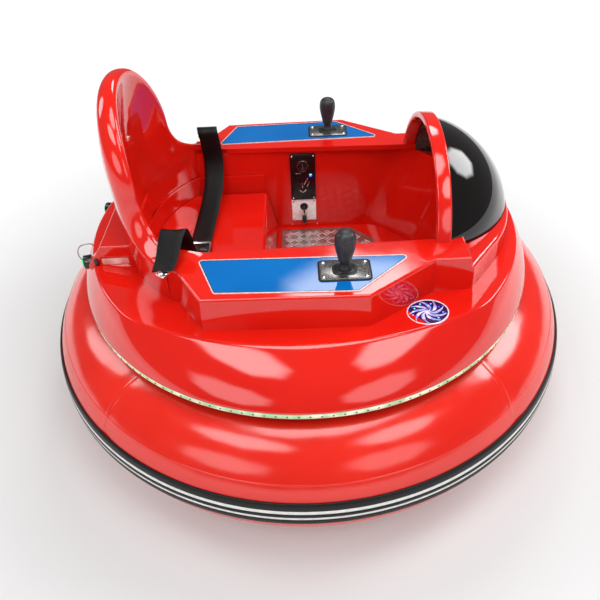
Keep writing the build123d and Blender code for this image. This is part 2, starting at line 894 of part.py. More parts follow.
# Chassis: an eight-sided tube frame with cross rails, and the round tray on it
with BuildPart() as chassis_frame:
    with BuildSketch(Plane.XY.offset(frame_low)):
        add(octagon())
        offset(amount=-tube_size, mode=Mode.SUBTRACT)
        for x in (-caster_rail_x, -drive_rail_x, drive_rail_x, caster_rail_x):
            with Locations((x, 0)):
                Rectangle(tube_size, 2 * frame_side[1][1] - tube_size)
    extrude(amount=tube_size)
save(chassis_frame, "chassis_frame")

with BuildPart() as tray:
    with BuildSketch(Plane.XY.offset(tray_low)):
        Circle(tray_radius)
    extrude(amount=tray_thickness)
save(tray, "tray")

# Straps from the tray to welded patches on the ring's inner side
patch_inner = tube_radius + fit
strap_arc = degrees(strap_width / tray_radius)
with BuildPart() as ring_strap:
    with BuildSketch(Plane.XZ):
        with Locations((ring_radius, ring_height)):
            Circle(patch_inner + strap_thickness)
        with Locations((ring_radius - tube_radius, tray_low + tray_thickness)):
            Rectangle(strap_patch, strap_patch, mode=Mode.INTERSECT)
        with Locations((tray_radius - strap_inset, tray_low + tray_thickness)):
            Rectangle(tube_radius, strap_thickness, align=Align.MIN)
        with Locations((ring_radius, ring_height)):
            Circle(patch_inner, mode=Mode.SUBTRACT)
        with Locations((ring_radius, ring_height)):
            Rectangle(ring_radius, ring_radius, align=(Align.MIN, Align.CENTER), mode=Mode.SUBTRACT)
    revolve(axis=Axis.Z, revolution_arc=strap_arc)
with BuildPart() as ring_straps:
    with PolarLocations(0, strap_count):
        add(ring_strap.part)
save(ring_straps, "ring_straps")

# Battery block on the tray, under the seat
battery_rear, battery_front, battery_half, battery_height = battery_box
with BuildPart() as battery:
    with Locations(((battery_rear + battery_front) / 2, 0, tray_low + tray_thickness)):
        Box(
            battery_front - battery_rear,
            2 * battery_half,
            battery_height,
            align=(Align.CENTER, Align.CENTER, Align.MIN),
        )
save(battery, "battery")

# Drive units: gearbox and motor on brackets, wheel and tyre on the gearbox's shaft
for side, sign in (("left", 1), ("right", -1)):
    with BuildPart() as drive_motor:
        with BuildSketch(Plane.XZ.offset(-sign * gearbox_in)):
            with Locations((0, drive_radius)):
                RectangleRounded(2 * gearbox_half, 2 * motor_radius, gearbox_round)
        extrude(amount=-sign * (gearbox_out - gearbox_in))
        with BuildSketch(Plane.XZ.offset(-sign * motor_in)):
            with Locations((0, drive_radius)):
                Circle(motor_radius)
        extrude(amount=-sign * (gearbox_in - motor_in))
        with BuildSketch(Plane.XZ.offset(-sign * shaft_end)):
            with Locations((0, drive_radius)):
                Circle(drive_shaft + shaft_clearance)
        extrude(amount=-sign * (gearbox_out - shaft_end), mode=Mode.SUBTRACT)
    save(drive_motor, f"drive_motor_{side}")

    with BuildPart() as drive_hub:
        with BuildSketch(Plane.YZ):
            with BuildLine():
                Polyline(
                    (sign * (shaft_end + 1), drive_radius),
                    (sign * (shaft_end + 1), drive_radius + drive_shaft),
                    (sign * (drive_y - hub_half), drive_radius + drive_shaft),
                    (sign * (drive_y - hub_half), drive_radius + hub_boss),
                    (sign * (drive_y - hub_web), drive_radius + hub_boss),
                    (sign * (drive_y - hub_web), drive_radius + drive_rim - 2 * rim_lip),
                    (sign * (drive_y - rim_half), drive_radius + drive_rim - rim_lip),
                    (sign * (drive_y - rim_half), drive_radius + drive_rim),
                    (sign * (drive_y + rim_half), drive_radius + drive_rim),
                    (sign * (drive_y + rim_half), drive_radius + drive_rim - rim_lip),
                    (sign * (drive_y + hub_web), drive_radius + drive_rim - 2 * rim_lip),
                    (sign * (drive_y + hub_web), drive_radius + hub_boss),
                    (sign * (drive_y + hub_web + hub_cap), drive_radius + hub_boss),
                    (sign * (drive_y + hub_web + hub_cap), drive_radius),
                    close=True,
                )
            make_face()
        revolve(axis=Axis((0, 0, drive_radius), (0, 1, 0)))
    save(drive_hub, f"drive_hub_{side}")

    with BuildPart() as drive_tyre:
        with BuildSketch(Plane.YZ):
            with Locations((sign * drive_y, drive_radius + (drive_radius + drive_rim + fit) / 2)):
                RectangleRounded(drive_width, drive_radius - drive_rim - fit, tyre_round)
        revolve(axis=Axis((0, 0, drive_radius), (0, 1, 0)))
    save(drive_tyre, f"drive_tyre_{side}")

bracket_x = gearbox_half + fit + bracket_thickness / 2
with BuildPart() as motor_brackets:
    for sign in (1, -1):
        for end in (1, -1):
            with BuildSketch(Plane.XY.offset(drive_radius - motor_radius)):
                with Locations((end * bracket_x, sign * (gearbox_in + gearbox_out) / 2)):
                    Rectangle(bracket_thickness, gearbox_out - gearbox_in - bracket_thickness)
            extrude(amount=frame_low - drive_radius + motor_radius)
save(motor_brackets, "motor_brackets")

# Casters: mount plate with its bearing, fork with kingpin and axle, and the wheel
crown_top = frame_low - caster_plate_z - bearing_height - bearing_gap
with BuildPart() as caster_mounts:
    for x in (caster_x, -caster_x):
        with BuildSketch(Plane.XY.offset(frame_low - caster_plate_z)):
            with Locations((x, 0)):
                RectangleRounded(caster_plate_x, caster_plate_y, plate_corner)
                with GridLocations(caster_bolt_x, caster_bolt_y, 2, 2):
                    Circle(caster_bolt_radius, mode=Mode.SUBTRACT)
        extrude(amount=caster_plate_z)
        with BuildSketch(Plane.XY.offset(crown_top + bearing_gap)):
            with Locations((x, 0)):
                Circle(bearing_radius)
        extrude(amount=bearing_height)
        with BuildSketch(Plane.XY.offset(crown_top + bearing_gap)):
            with Locations((x, 0)):
                Circle(kingpin_radius + shaft_clearance)
        extrude(amount=bearing_height - 2, mode=Mode.SUBTRACT)
save(caster_mounts, "caster_mounts")

for side, x in (("front", caster_x), ("rear", -caster_x)):
    axle_x = x - caster_trail
    crown_middle = crown_top - crown_thickness / 2
    with BuildPart() as caster_fork:
        with BuildSketch(Plane.XY.offset(crown_top - crown_thickness)):
            with Locations((x - caster_trail / 4, 0)):
                RectangleRounded(
                    2 * bearing_radius + caster_trail / 2,
                    fork_gap + 2 * fork_wall,
                    crown_round,
                )
        extrude(amount=crown_thickness)
        for sign in (1, -1):
            with BuildSketch(Plane.XZ.offset(-sign * fork_gap / 2)):
                with BuildLine():
                    Polyline(
                        (x + bearing_radius - crown_thickness, crown_middle),
                        (axle_x + axle_boss, caster_radius),
                        (axle_x - axle_boss, caster_radius),
                        (x - bearing_radius - caster_trail / 2 + crown_thickness, crown_middle),
                        close=True,
                    )
                make_face()
                with Locations((axle_x, caster_radius)):
                    Circle(axle_boss)
            extrude(amount=-sign * fork_wall)
        with BuildSketch(Plane.XZ.offset(-fork_gap / 2 - fork_wall - axle_end)):
            with Locations((axle_x, caster_radius)):
                Circle(axle_radius)
        extrude(amount=fork_gap + 2 * fork_wall + 2 * axle_end)
        with BuildSketch(Plane.XY.offset(crown_top)):
            with Locations((x, 0)):
                Circle(kingpin_radius)
        extrude(amount=kingpin_length)
    save(caster_fork, f"caster_fork_{side}")

    with BuildPart() as caster_wheel:
        with BuildSketch(Plane.YZ.offset(axle_x)):
            with BuildLine():
                Polyline(
                    (-fork_gap / 2 + bearing_gap, caster_radius + axle_radius + shaft_clearance),
                    (-fork_gap / 2 + bearing_gap, caster_radius + axle_boss),
                    (-caster_web, caster_radius + axle_boss + 2),
                    (-caster_web, caster_radius + caster_rim),
                    (-caster_width / 2, caster_radius + caster_rim + 4),
                    (-caster_width / 2, 2 * caster_radius - wheel_edge),
                    (-caster_width / 2 + wheel_edge, 2 * caster_radius),
                    (caster_width / 2 - wheel_edge, 2 * caster_radius),
                    (caster_width / 2, 2 * caster_radius - wheel_edge),
                    (caster_width / 2, caster_radius + caster_rim + 4),
                    (caster_web, caster_radius + caster_rim),
                    (caster_web, caster_radius + axle_boss + 2),
                    (fork_gap / 2 - bearing_gap, caster_radius + axle_boss),
                    (fork_gap / 2 - bearing_gap, caster_radius + axle_radius + shaft_clearance),
                    close=True,
                )
            make_face()
        revolve(axis=Axis((axle_x, 0, caster_radius), (0, 1, 0)))
    save(caster_wheel, f"caster_wheel_{side}")
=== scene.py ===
import math

import bmesh
import bpy
from mathutils import Matrix, Vector


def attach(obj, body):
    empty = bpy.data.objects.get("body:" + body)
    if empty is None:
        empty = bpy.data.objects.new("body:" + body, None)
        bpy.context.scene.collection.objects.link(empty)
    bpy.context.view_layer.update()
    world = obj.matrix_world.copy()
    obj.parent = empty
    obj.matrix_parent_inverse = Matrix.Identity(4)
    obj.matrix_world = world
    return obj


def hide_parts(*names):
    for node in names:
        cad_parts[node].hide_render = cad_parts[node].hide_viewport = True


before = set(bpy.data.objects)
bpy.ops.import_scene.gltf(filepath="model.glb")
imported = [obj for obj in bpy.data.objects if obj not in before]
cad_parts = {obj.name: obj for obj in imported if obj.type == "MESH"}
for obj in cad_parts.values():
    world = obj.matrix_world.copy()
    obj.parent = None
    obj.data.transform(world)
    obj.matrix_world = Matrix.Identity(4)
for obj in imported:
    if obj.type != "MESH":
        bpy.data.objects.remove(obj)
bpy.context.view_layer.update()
print("frame loaded")

# Camera, from a solve on the photograph's known sizes
camera = {
    "position": (0.0005, -1.0801, 1.1114),  # metres
    "elevation": 42.19,  # degrees below the horizon
    "azimuth": 0.84,
    "roll": 2.855,
    "lens": 33.69,  # mm on a 36 mm sensor
    "sensor": 36.0,
}


def makeCamera():
    data = bpy.data.cameras.new("camera")
    data.lens = camera["lens"]
    data.sensor_width = camera["sensor"]
    obj = bpy.data.objects.new("camera", data)
    bpy.context.scene.collection.objects.link(obj)
    az, el, roll = (math.radians(camera[k]) for k in ("azimuth", "elevation", "roll"))
    back = Vector((math.sin(az) * math.cos(el), -math.cos(az) * math.cos(el), math.sin(el)))
    side = Vector((math.cos(az), math.sin(az), 0))
    up = back.cross(side)
    localX = side * math.cos(roll) - up * math.sin(roll)
    localY = side * math.sin(roll) + up * math.cos(roll)
    turn = Matrix((localX, localY, back)).transposed()
    obj.matrix_world = Matrix.Translation(camera["position"]) @ turn.to_4x4()
    bpy.context.scene.camera = obj


makeCamera()


# Colours are sRGB hex, as a colour picker shows them
def fromHex(value):
    parts = [int(value[i : i + 2], 16) / 255 for i in (1, 3, 5)]
    linear = [c / 12.92 if c <= 0.04045 else ((c + 0.055) / 1.055) ** 2.4 for c in parts]
    return (*linear, 1.0)


def feed(tree, node, **inputs):
    # An input is called by its name with _ for a space, or by i and its number; it gets a link or a value
    for key, source in inputs.items():
        name = int(key[1:]) if key[0] == "i" and key[1:].isdigit() else key.replace("_", " ")
        if isinstance(source, bpy.types.NodeSocket):
            tree.links.new(source, node.inputs[name])
        else:
            node.inputs[name].default_value = source


def addNode(tree, kind, settings=None, **inputs):
    # settings are the node's attributes or inputs, and stops the (place, colour or grey) pairs of a ramp
    node = tree.nodes.new(kind)
    for key, value in (settings or {}).items():
        if key == "stops":
            for element, (place, colour) in zip(node.color_ramp.elements, value):
                element.position = place
                element.color = fromHex(colour) if isinstance(colour, str) else (colour, colour, colour, 1)
        elif isinstance(key, str) and hasattr(node, key):
            setattr(node, key, value)
        else:
            node.inputs[key].default_value = value
    feed(tree, node, **inputs)
    return node


def newMaterial(name, **values):
    material = bpy.data.materials.new(name)
    material.use_nodes = True
    tree = material.node_tree
    shader = tree.nodes["Principled BSDF"]
    feed(tree, shader, **values)
    return material, tree, shader


def objectSpace(tree):
    return addNode(tree, "ShaderNodeTexCoord").outputs["Object"]


def glossyPaint(name, dark, light, roughness, mottle, peel, peelDepth, **values):
    # mottle and peel are the sizes in metres of the colour drift and of the surface's waves
    material, tree, shader = newMaterial(name, **values)
    place = objectSpace(tree)
    low, high = roughness
    drift = addNode(tree, "ShaderNodeTexNoise", {"Scale": 1 / mottle, "Detail": 3.0}, Vector=place)
    colours = {"stops": ((0.35, dark), (0.65, light))}
    colour = addNode(tree, "ShaderNodeValToRGB", colours, Fac=drift.outputs["Fac"])
    rub = addNode(tree, "ShaderNodeTexNoise", {"Scale": 6 / mottle, "Detail": 5.0}, Vector=place)
    rough = addNode(tree, "ShaderNodeValToRGB", {"stops": ((0.3, low), (0.75, high))}, Fac=rub.outputs["Fac"])
    skin = addNode(tree, "ShaderNodeTexNoise", {"Scale": 1 / peel, "Detail": 1.0}, Vector=place)
    bump = addNode(tree, "ShaderNodeBump", {"Distance": peelDepth}, Height=skin.outputs["Fac"])
    feed(tree, shader, Base_Color=colour.outputs[0], Roughness=rough.outputs[0], Normal=bump.outputs[0])
    return material


# Glass fibre body in gelcoat: deep even red under a hard wax shine, with slow waves in the shine
hardWax = {"IOR": 1.55, "Coat_Weight": 0.3, "Coat_Roughness": 0.03}
gelcoatRed = glossyPaint("gelcoatRed", "#D4170D", "#DE1E11", (0.06, 0.1), 0.25, 0.05, 0.0003, **hardWax)

# Welded vinyl film under pressure: a softer shine than the body, with slow ripples
softShine = {"IOR": 1.52, "Coat_Weight": 0.25, "Coat_Roughness": 0.08}
vinylRed = glossyPaint("vinylRed", "#DE2114", "#E8291A", (0.13, 0.2), 0.18, 0.07, 0.0012, **softShine)

# Cast acrylic tinted nearly black: mirror smooth, with a trace of brown
acrylic = {"IOR": 1.49, "Coat_Weight": 0.3}
smokedAcrylic = glossyPaint("smokedAcrylic", "#0A0707", "#140B0A", (0.02, 0.04), 0.3, 0.08, 0.0001, **acrylic)

# Printed film under clear lacquer on the armrests: bright even blue
blueFilm = glossyPaint("blueFilm", "#0062AC", "#056CB8", (0.03, 0.05), 0.2, 0.03, 0.00004, IOR=1.5)


def speckled(name, dark, light, roughness, grain, depth, **values):
    # Moulded plastic, rubber, paint or metal: a fine grain of that size in metres in colour and height
    material, tree, shader = newMaterial(name, **values)
    place = objectSpace(tree)
    low, high = roughness
    settings = {"Scale": 1 / grain, "Detail": 6.0}
    noise = addNode(tree, "ShaderNodeTexNoise", settings, Vector=place).outputs["Fac"]
    colour = addNode(tree, "ShaderNodeValToRGB", {"stops": ((0.35, dark), (0.65, light))}, Fac=noise)
    rough = addNode(tree, "ShaderNodeValToRGB", {"stops": ((0.3, low), (0.7, high))}, Fac=noise)
    bump = addNode(tree, "ShaderNodeBump", {"Distance": depth}, Height=noise)
    feed(tree, shader, Base_Color=colour.outputs[0], Roughness=rough.outputs[0], Normal=bump.outputs[0])
    return material


# Extruded rubber, matt with a faint bloom
beltRubber = speckled("beltRubber", "#0C0C0C", "#161617", (0.35, 0.5), 0.003, 0.0001, Specular_IOR_Level=0.25)
# White rubber laid in the belt's grooves: clean, even and half matt
stripeWhite = speckled("stripeWhite", "#E4E4E0", "#F6F6F3", (0.3, 0.45), 0.01, 0.00005)
# Injection moulded grip with a spark-eroded texture, whose fine pebbles break up the highlight
gripPlastic = speckled("gripPlastic", "#1B1B1D", "#2C2C2F", (0.34, 0.48), 0.0015, 0.0002)
# Black plastic from a smooth mould, with a soft highlight
satinBlack = speckled("satinBlack", "#0D0D0E", "#161617", (0.22, 0.34), 0.004, 0.00005)
# Solid moulded tyres: dark grey and dull, as the floor leaves them
tyreRubber = speckled("tyreRubber", "#161616", "#242424", (0.6, 0.8), 0.004, 0.0002)
# Powder baked on steel: black with a fine orange peel
powderCoat = speckled("powderCoat", "#101011", "#1A1A1C", (0.4, 0.55), 0.0015, 0.0001)
# Moulded battery case: dark grey, dull
batteryCase = speckled("batteryCase", "#26272A", "#323336", (0.4, 0.55), 0.002, 0.00008)
# Enamel sprayed on the motors: nearly black, half gloss
motorEnamel = speckled("motorEnamel", "#1D2024", "#2A2D31", (0.3, 0.45), 0.004, 0.0001)
# Bright zinc with a faint spangle
zincPlate = speckled("zincPlate", "#A6A8AB", "#C3C5C8", (0.25, 0.4), 0.006, 0.00003, Metallic=1.0)
# Cast aluminium: light grey with a sandy skin
castHub = speckled("castHub", "#8E9093", "#A9ABAE", (0.35, 0.5), 0.003, 0.0001, Metallic=1.0)
# Chrome plate on polished metal: nearly a mirror
chrome = speckled("chrome", "#D8DADD", "#ECEEF0", (0.05, 0.12), 0.01, 0.00001, Metallic=1.0)
# Rolled sheet steel with a satin grain
platedSteel = speckled("platedSteel", "#7F7C7A", "#A5A29F", (0.24, 0.36), 0.003, 0.00003, Metallic=1.0)
# Rolled aluminium, scuffed by shoes
treadAluminium = speckled("treadAluminium", "#A39D9B", "#C6C0BE", (0.34, 0.5), 0.004, 0.00006, Metallic=1.0)
# The same sheet's raised bars, polished by shoes
barAluminium = speckled("barAluminium", "#F2EFED", "#FFFDFB", (0.2, 0.3), 0.006, 0.00002, Metallic=0.6)
# Moulded rubber of gaskets and boots: black, half matt
gasketRubber = speckled("gasketRubber", "#0B0B0B", "#131313", (0.35, 0.5), 0.003, 0.0001)
# Moulded plate of the coin acceptor: black with a warm cast and a clear shine
coinPlastic = speckled("coinPlastic", "#100A0B", "#1A1214", (0.12, 0.2), 0.004, 0.00003)
# Plate painted white, smooth and shiny
keyPlate = speckled("keyPlate", "#ECE8E6", "#FAF7F5", (0.2, 0.3), 0.006, 0.00002)
# Edging round the armrest panels: a real rim, painted pale pink as its highlight and as a painted reflection
# of the red round it
trimPaintedHighlight = speckled("trimPaintedHighlight", "#D9B9B6", "#EFD9D6", (0.2, 0.3), 0.006, 0.00002)
# Pale pink slab in the tail pockets, nearly white in places: a painted highlight where light falls on the
# pocket
pocketHighlight = glossyPaint("pocketHighlight", "#E0867C", "#F6D5D0", (0.1, 0.2), 0.03, 0.02, 0.0001)
# Moulded milky plastic, cool from the violet light in it
lensWhite = speckled("lensWhite", "#D8D4E4", "#F4F0FF", (0.15, 0.25), 0.004, 0.00002)
# Moulded dish behind the vanes: deep violet with a clear shine
dishPurple = speckled("dishPurple", "#120B30", "#2A1A66", (0.12, 0.25), 0.006, 0.00003)


def glowing(name, dark, light, strength, grain):
    # A lit diffuser: its colour varies with the lamps behind it
    material, tree, shader = newMaterial(name, Roughness=0.3, Emission_Strength=strength)
    cells = addNode(tree, "ShaderNodeTexNoise", {"Scale": 1 / grain, "Detail": 1.0}, Vector=objectSpace(tree))
    colours = {"stops": ((0.4, dark), (0.62, light))}
    colour = addNode(tree, "ShaderNodeValToRGB", colours, Fac=cells.outputs["Fac"]).outputs[0]
    feed(tree, shader, Base_Color=colour, Emission_Color=colour)
    return material


# Extruded milky tube: green, and cream where a chip is near
bandLight = glowing("bandLight", "#9FC79A", "#E8EAD2", 0.4, 0.03)
# Moulded frosted vanes, lit from behind in pale violet
vaneLight = glowing("vaneLight", "#7C86D6", "#D8D2F2", 0.18, 0.012)
# Bare lamp chips: small blue points, the brightest thing on the car
glintBlue = glowing("glintBlue", "#1030FF", "#50C0FF", 2.5, 0.006)
# Moulded green light guide round a tail lamp's lens
glowGreen = glowing("glowGreen", "#10C070", "#60F0A8", 0.9, 0.01)
# Moulded clear lens over a tail lamp, white with its light
glowWhite = glowing("glowWhite", "#E8FFF4", "#FFFFFF", 1.2, 0.01)


# Woven polyester strap: a satin weave with ribs along its length, from the strap's own UVs in metres
def wovenStrap():
    material, tree, shader = newMaterial("wovenStrap", Specular_IOR_Level=0.22)
    uv = addNode(tree, "ShaderNodeUVMap", {"uv_map": "weave"}).outputs["UV"]
    # Ribs 3 mm apart, coarser than real ones so that they show
    settings = {"wave_type": "BANDS", "bands_direction": "Y", "Scale": 100.0, "Distortion": 0.0}
    ribs = addNode(tree, "ShaderNodeTexWave", settings, Vector=uv).outputs["Fac"]
    settings = {"wave_type": "BANDS", "bands_direction": "X", "Scale": 160.0, "Distortion": 0.4}
    picks = addNode(tree, "ShaderNodeTexWave", settings, Vector=uv).outputs["Fac"]
    height = addNode(tree, "ShaderNodeMath", {"operation": "ADD"}, i0=ribs, i1=picks).outputs[0]
    colour = addNode(tree, "ShaderNodeValToRGB", {"stops": ((0.3, "#040404"), (1.0, "#0F0F11"))}, Fac=height)
    rough = addNode(tree, "ShaderNodeValToRGB", {"stops": ((0.2, 0.3), (0.9, 0.45))}, Fac=picks)
    bump = addNode(tree, "ShaderNodeBump", {"Distance": 0.0002}, Height=height)
    feed(tree, shader, Base_Color=colour.outputs[0], Roughness=rough.outputs[0], Normal=bump.outputs[0])
    return material


strapBlack = wovenStrap()

mm = 0.001


def finishMesh(mesh, sharp, weld):
    work = bmesh.new()
    work.from_mesh(mesh)
    bmesh.ops.remove_doubles(work, verts=work.verts, dist=weld * mm)
    bmesh.ops.dissolve_degenerate(work, edges=work.edges, dist=weld * mm)
    bmesh.ops.recalc_face_normals(work, faces=work.faces)
    work.to_mesh(mesh)
    work.free()
    mesh.polygons.foreach_set("use_smooth", [True] * len(mesh.polygons))
    mesh.set_sharp_from_angle(angle=math.radians(sharp))


def onCar(name, mesh, instead=()):
    # instead names the frame's nodes that the piece stands for
    obj = bpy.data.objects.new(name, mesh)
    bpy.context.scene.collection.objects.link(obj)
    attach(obj, "car")
    if instead:
        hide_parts(*instead)
    return obj


def newPiece(name, points, faces, material, slot, instead=(), sharp=40, weld=0.02):
    # points and weld are in millimetres, sharp is in degrees
    mesh = bpy.data.meshes.new(name)
    mesh.from_pydata([[c * mm for c in p] for p in points], [], faces)
    finishMesh(mesh, sharp, weld)
    mesh.materials.append(material)
    return onCar(name, mesh, instead)


def gridFaces(rows, columns, wrapRows=False, wrapColumns=False, start=0):
    # Quads between rows of points, closed round in either direction where it wraps
    faces = []
    for i in range(rows if wrapRows else rows - 1):
        for j in range(columns if wrapColumns else columns - 1):
            a, b = i * columns, (i + 1) % rows * columns
            c = (j + 1) % columns
            faces.append((start + a + j, start + a + c, start + b + c, start + b + j))
    return faces


def endCaps(rows, columns):
    # One face over the first row and one over the last
    last = (rows - 1) * columns
    return [tuple(range(columns)), tuple(last + k for k in range(columns))]


def joined(*shells):
    # Several (points, faces) shells as one
    points, faces = [], []
    for somePoints, someFaces in shells:
        faces += [tuple(i + len(points) for i in face) for face in someFaces]
        points += somePoints
    return points, faces


class Place:
    # A spot with its own axes: u and v along a face, w out of it
    def __init__(self, origin, out, along):
        self.origin = Vector(origin)
        self.w = Vector(out).normalized()
        self.u = (Vector(along) - self.w * Vector(along).dot(self.w)).normalized()
        self.v = self.w.cross(self.u)

    def at(self, u, v, w):
        return tuple(self.origin + self.u * u + self.v * v + self.w * w)


ground = Place((0, 0, 0), (0, 0, 1), (1, 0, 0))


def spun(profile, count, place=ground, closed=True):
    # A profile of (radius, height) turned about a place's axis; an open one has its ends on the axis
    points = []
    for i in range(count):
        turn = 2 * math.pi * i / count
        points += [place.at(r * math.cos(turn), r * math.sin(turn), h) for r, h in profile]
    return points, gridFaces(count, len(profile), wrapRows=True, wrapColumns=closed)


def roundedBox(width, height, radius, steps=5):
    # Outline of a rounded rectangle about the origin
    spots = []
    for k, (sx, sy) in enumerate(((1, 1), (-1, 1), (-1, -1), (1, -1))):
        for i in range(steps + 1):
            turn = math.pi / 2 * (k + i / steps)
            x = sx * (width / 2 - radius) + radius * math.cos(turn)
            spots.append((x, sy * (height / 2 - radius) + radius * math.sin(turn)))
    return spots


def lofted(place, layers):
    # Closed solid through outlines of the same count at rising heights
    points = [place.at(x, y, h) for outline, h in layers for x, y in outline]
    count = len(layers[0][0])
    return points, gridFaces(len(layers), count, wrapColumns=True) + endCaps(len(layers), count)


def slab(place, width, height, radius, low, high, edge=0.6, steps=5):
    # A rounded plate with a softened upper edge
    layers = [
        (roundedBox(width, height, radius, steps), low),
        (roundedBox(width, height, radius, steps), high - edge),
        (roundedBox(width - 0.6 * edge, height - 0.6 * edge, radius, steps), high - 0.3 * edge),
        (roundedBox(width - 2 * edge, height - 2 * edge, max(radius - edge, 0.3), steps), high),
    ]
    return lofted(place, layers)


def smoothPath(spots, steps=8):
    # Points on a smooth line through the spots
    spots = [Vector(s) for s in spots]
    ends = [2 * spots[0] - spots[1], *spots, 2 * spots[-1] - spots[-2]]
    line = []
    for i in range(1, len(ends) - 2):
        a, b, c, d = ends[i - 1 : i + 3]
        for k in range(steps):
            t = k / steps
            square, cube = 2 * a - 5 * b + 4 * c - d, 3 * b - a - 3 * c + d
            line.append(0.5 * (2 * b + (c - a) * t + square * t**2 + cube * t**3))
    return line + [spots[-1]]


def tube(spots, radius, sides=8):
    # A round wire along the spots
    line = smoothPath(spots)
    points, side = [], None
    for i, spot in enumerate(line):
        way = (line[min(i + 1, len(line) - 1)] - line[max(i - 1, 0)]).normalized()
        side = (side or Vector((0.3, 0.5, 0.8))).cross(way).cross(way).normalized() * (-1 if side else 1)
        other = way.cross(side)
        for k in range(sides):
            turn = 2 * math.pi * k / sides
            points.append(tuple(spot + radius * (side * math.cos(turn) + other * math.sin(turn))))
    return points, gridFaces(len(line), sides, wrapColumns=True) + endCaps(len(line), sides)


# Inflated ring: one torus with welded seams that draw it in slightly
ring = {
    "radius": 463.5,
    "tube": 136.0,
    "height": 147.0,
    "around": 360,
    "across": 96,
    "seams": (-133.0, -47.5, 47.5, 133.0),  # degrees around
    "seamDraw": 1.2,
    "seamSpread": 1.6,  # degrees around
    "seamRun": (20, 178, 4),  # degrees up the tube: from, to, step
    "seamWidth": 11.0,
    "seamRise": 0.7,
    "seamSlant": 0.03,  # degrees around for each degree up the tube
    "hoop": 34.0,  # degrees up the tube
    "hoopWidth": 4.0,
    "hoopSway": 1.2,
    # section of a tape as shares of its half width and of its rise
    "tape": ((-1.0, -0.6), (-0.9, 0.25), (-0.7, 0.6), (0.7, 0.6), (0.9, 0.25), (1.0, -0.6)),
}


def onRing(around, section):
    draw = sum(math.exp(-(((around - seam) / ring["seamSpread"]) ** 2)) for seam in ring["seams"])
    reach = ring["tube"] - ring["seamDraw"] * draw
    out = ring["radius"] + reach * math.cos(math.radians(section))
    turn = math.radians(around)
    height = ring["height"] + reach * math.sin(math.radians(section))
    return (out * math.cos(turn), out * math.sin(turn), height)


def makeRing():
    count, across = ring["around"], ring["across"]
    points = []
    for i in range(count):
        points += [onRing(-180 + 360 * i / count, 360 * j / across) for j in range(across)]
    faces = gridFaces(count, across, wrapRows=True, wrapColumns=True)
    newPiece("bumperRing", points, faces, vinylRed, "ring_vinyl", ("bumper_ring",), sharp=60)


# A welded tape along (around, section) places, thickest in its middle
def ringTape(places, width, closed):
    spots = [Vector(onRing(*place)) for place in places]
    points = []
    count = len(places)
    for i, (around, section) in enumerate(places):
        ahead = spots[(i + 1) % count] if closed or i < count - 1 else spots[i]
        behind = spots[i - 1] if closed or i else spots[i]
        turn, rise = math.radians(around), math.radians(section)
        normal = Vector((math.cos(turn) * math.cos(rise), math.sin(turn) * math.cos(rise), math.sin(rise)))
        side = normal.cross((ahead - behind).normalized())
        for across, lift in ring["tape"]:
            points.append(tuple(spots[i] + side * across * width / 2 + normal * lift * ring["seamRise"]))
    columns = len(ring["tape"])
    faces = gridFaces(count, columns, wrapRows=closed, wrapColumns=True)
    return points, faces if closed else faces + endCaps(count, columns)


def makeSeams():
    high, sway = ring["hoop"], ring["hoopSway"]
    hoop = [(2 * i - 180, high + sway * math.sin(math.radians(6 * i))) for i in range(180)]
    shells = [ringTape(hoop, ring["hoopWidth"], True)]
    for seam in ring["seams"]:
        slant = math.copysign(ring["seamSlant"], seam)
        places = [(seam + (60 - section) * slant, section) for section in range(*ring["seamRun"])]
        shells.append(ringTape(places, ring["seamWidth"], False))
    newPiece("ringSeams", *joined(*shells), vinylRed, "ring_vinyl")


makeRing()
makeSeams()

# Rubber belt round the ring: a curved band with two grooves, and the white stripes in them
belt = {
    "thickness": 4.0,
    "low": 133.0,
    "high": 190.0,
    "stripes": ((152.5, 7.0), (169.5, 9.0)),  # middle height, width
    "depth": 1.5,
    "slack": 0.15,  # between a stripe and its groove's edge
    "around": 288,
}


def onBelt(height, depth):
    reach = ring["tube"] + belt["thickness"] - depth
    return (ring["radius"] + math.sqrt(reach**2 - (height - ring["height"]) ** 2), height)


def makeBelt():
    # Outlines are (height, depth under the belt's face)
    low, high, deep = belt["low"], belt["high"], belt["depth"]
    outline = [(low, 3.0), (low + 0.3, 1.2), (low + 1.5, 0.15), (low + 4, 0)]
    for middle, width in belt["stripes"]:
        under, over = middle - width / 2, middle + width / 2
        outline += [(under - 0.9, 0), (under, 0.4), (under, deep), (over, deep), (over, 0.4), (over + 0.9, 0)]
    outline += [(high - 5, 0), (high - 1.5, 0.2), (high - 0.3, 1.3), (high, 3.2)]
    profile = [onBelt(*spot) for spot in outline]
    profile += [onBelt(high - 0.5, 3.9), onBelt((low + high) / 2, 3.9), onBelt(low + 0.5, 3.9)]
    points, faces = spun(profile, belt["around"])
    newPiece("bumperBelt", points, faces, beltRubber, "belt_rubber", ("bumper_belt",), sharp=50)
    shells = []
    for middle, width in belt["stripes"]:
        half = width / 2 - belt["slack"]
        section = ((-1, deep), (-1, 0.9), (-0.75, 0.25), (0, 0), (0.75, 0.25), (1, 0.9), (1, deep))
        shells.append(spun([onBelt(middle + side * half, depth) for side, depth in section], belt["around"]))
    newPiece("beltStripes", *joined(*shells), stripeWhite, "line_white", ("belt_lines",), sharp=60)


makeBelt()
print("ring and belt made")

# Moulded body: skirt, deck crease and the dished deck
body = {
    "low": 317.3,
    "crease": 395.0,
    "radius": 500.0,
    "bulge": 0.45,
    "wall": 9.0,
    "rise": 11.0,
    "band": 70.0,
    "inner": 352.0,
    "around": 320,
    # angle from the nose or tail, radius of the crease; every second one ends an arc
    "quadrant": (
        (0, 465), (20.4, 464.4), (40.8, 463.5), (44.35, 461.5), (47.9, 455.3), (69, 419.5), (90, 408),
    ),
}


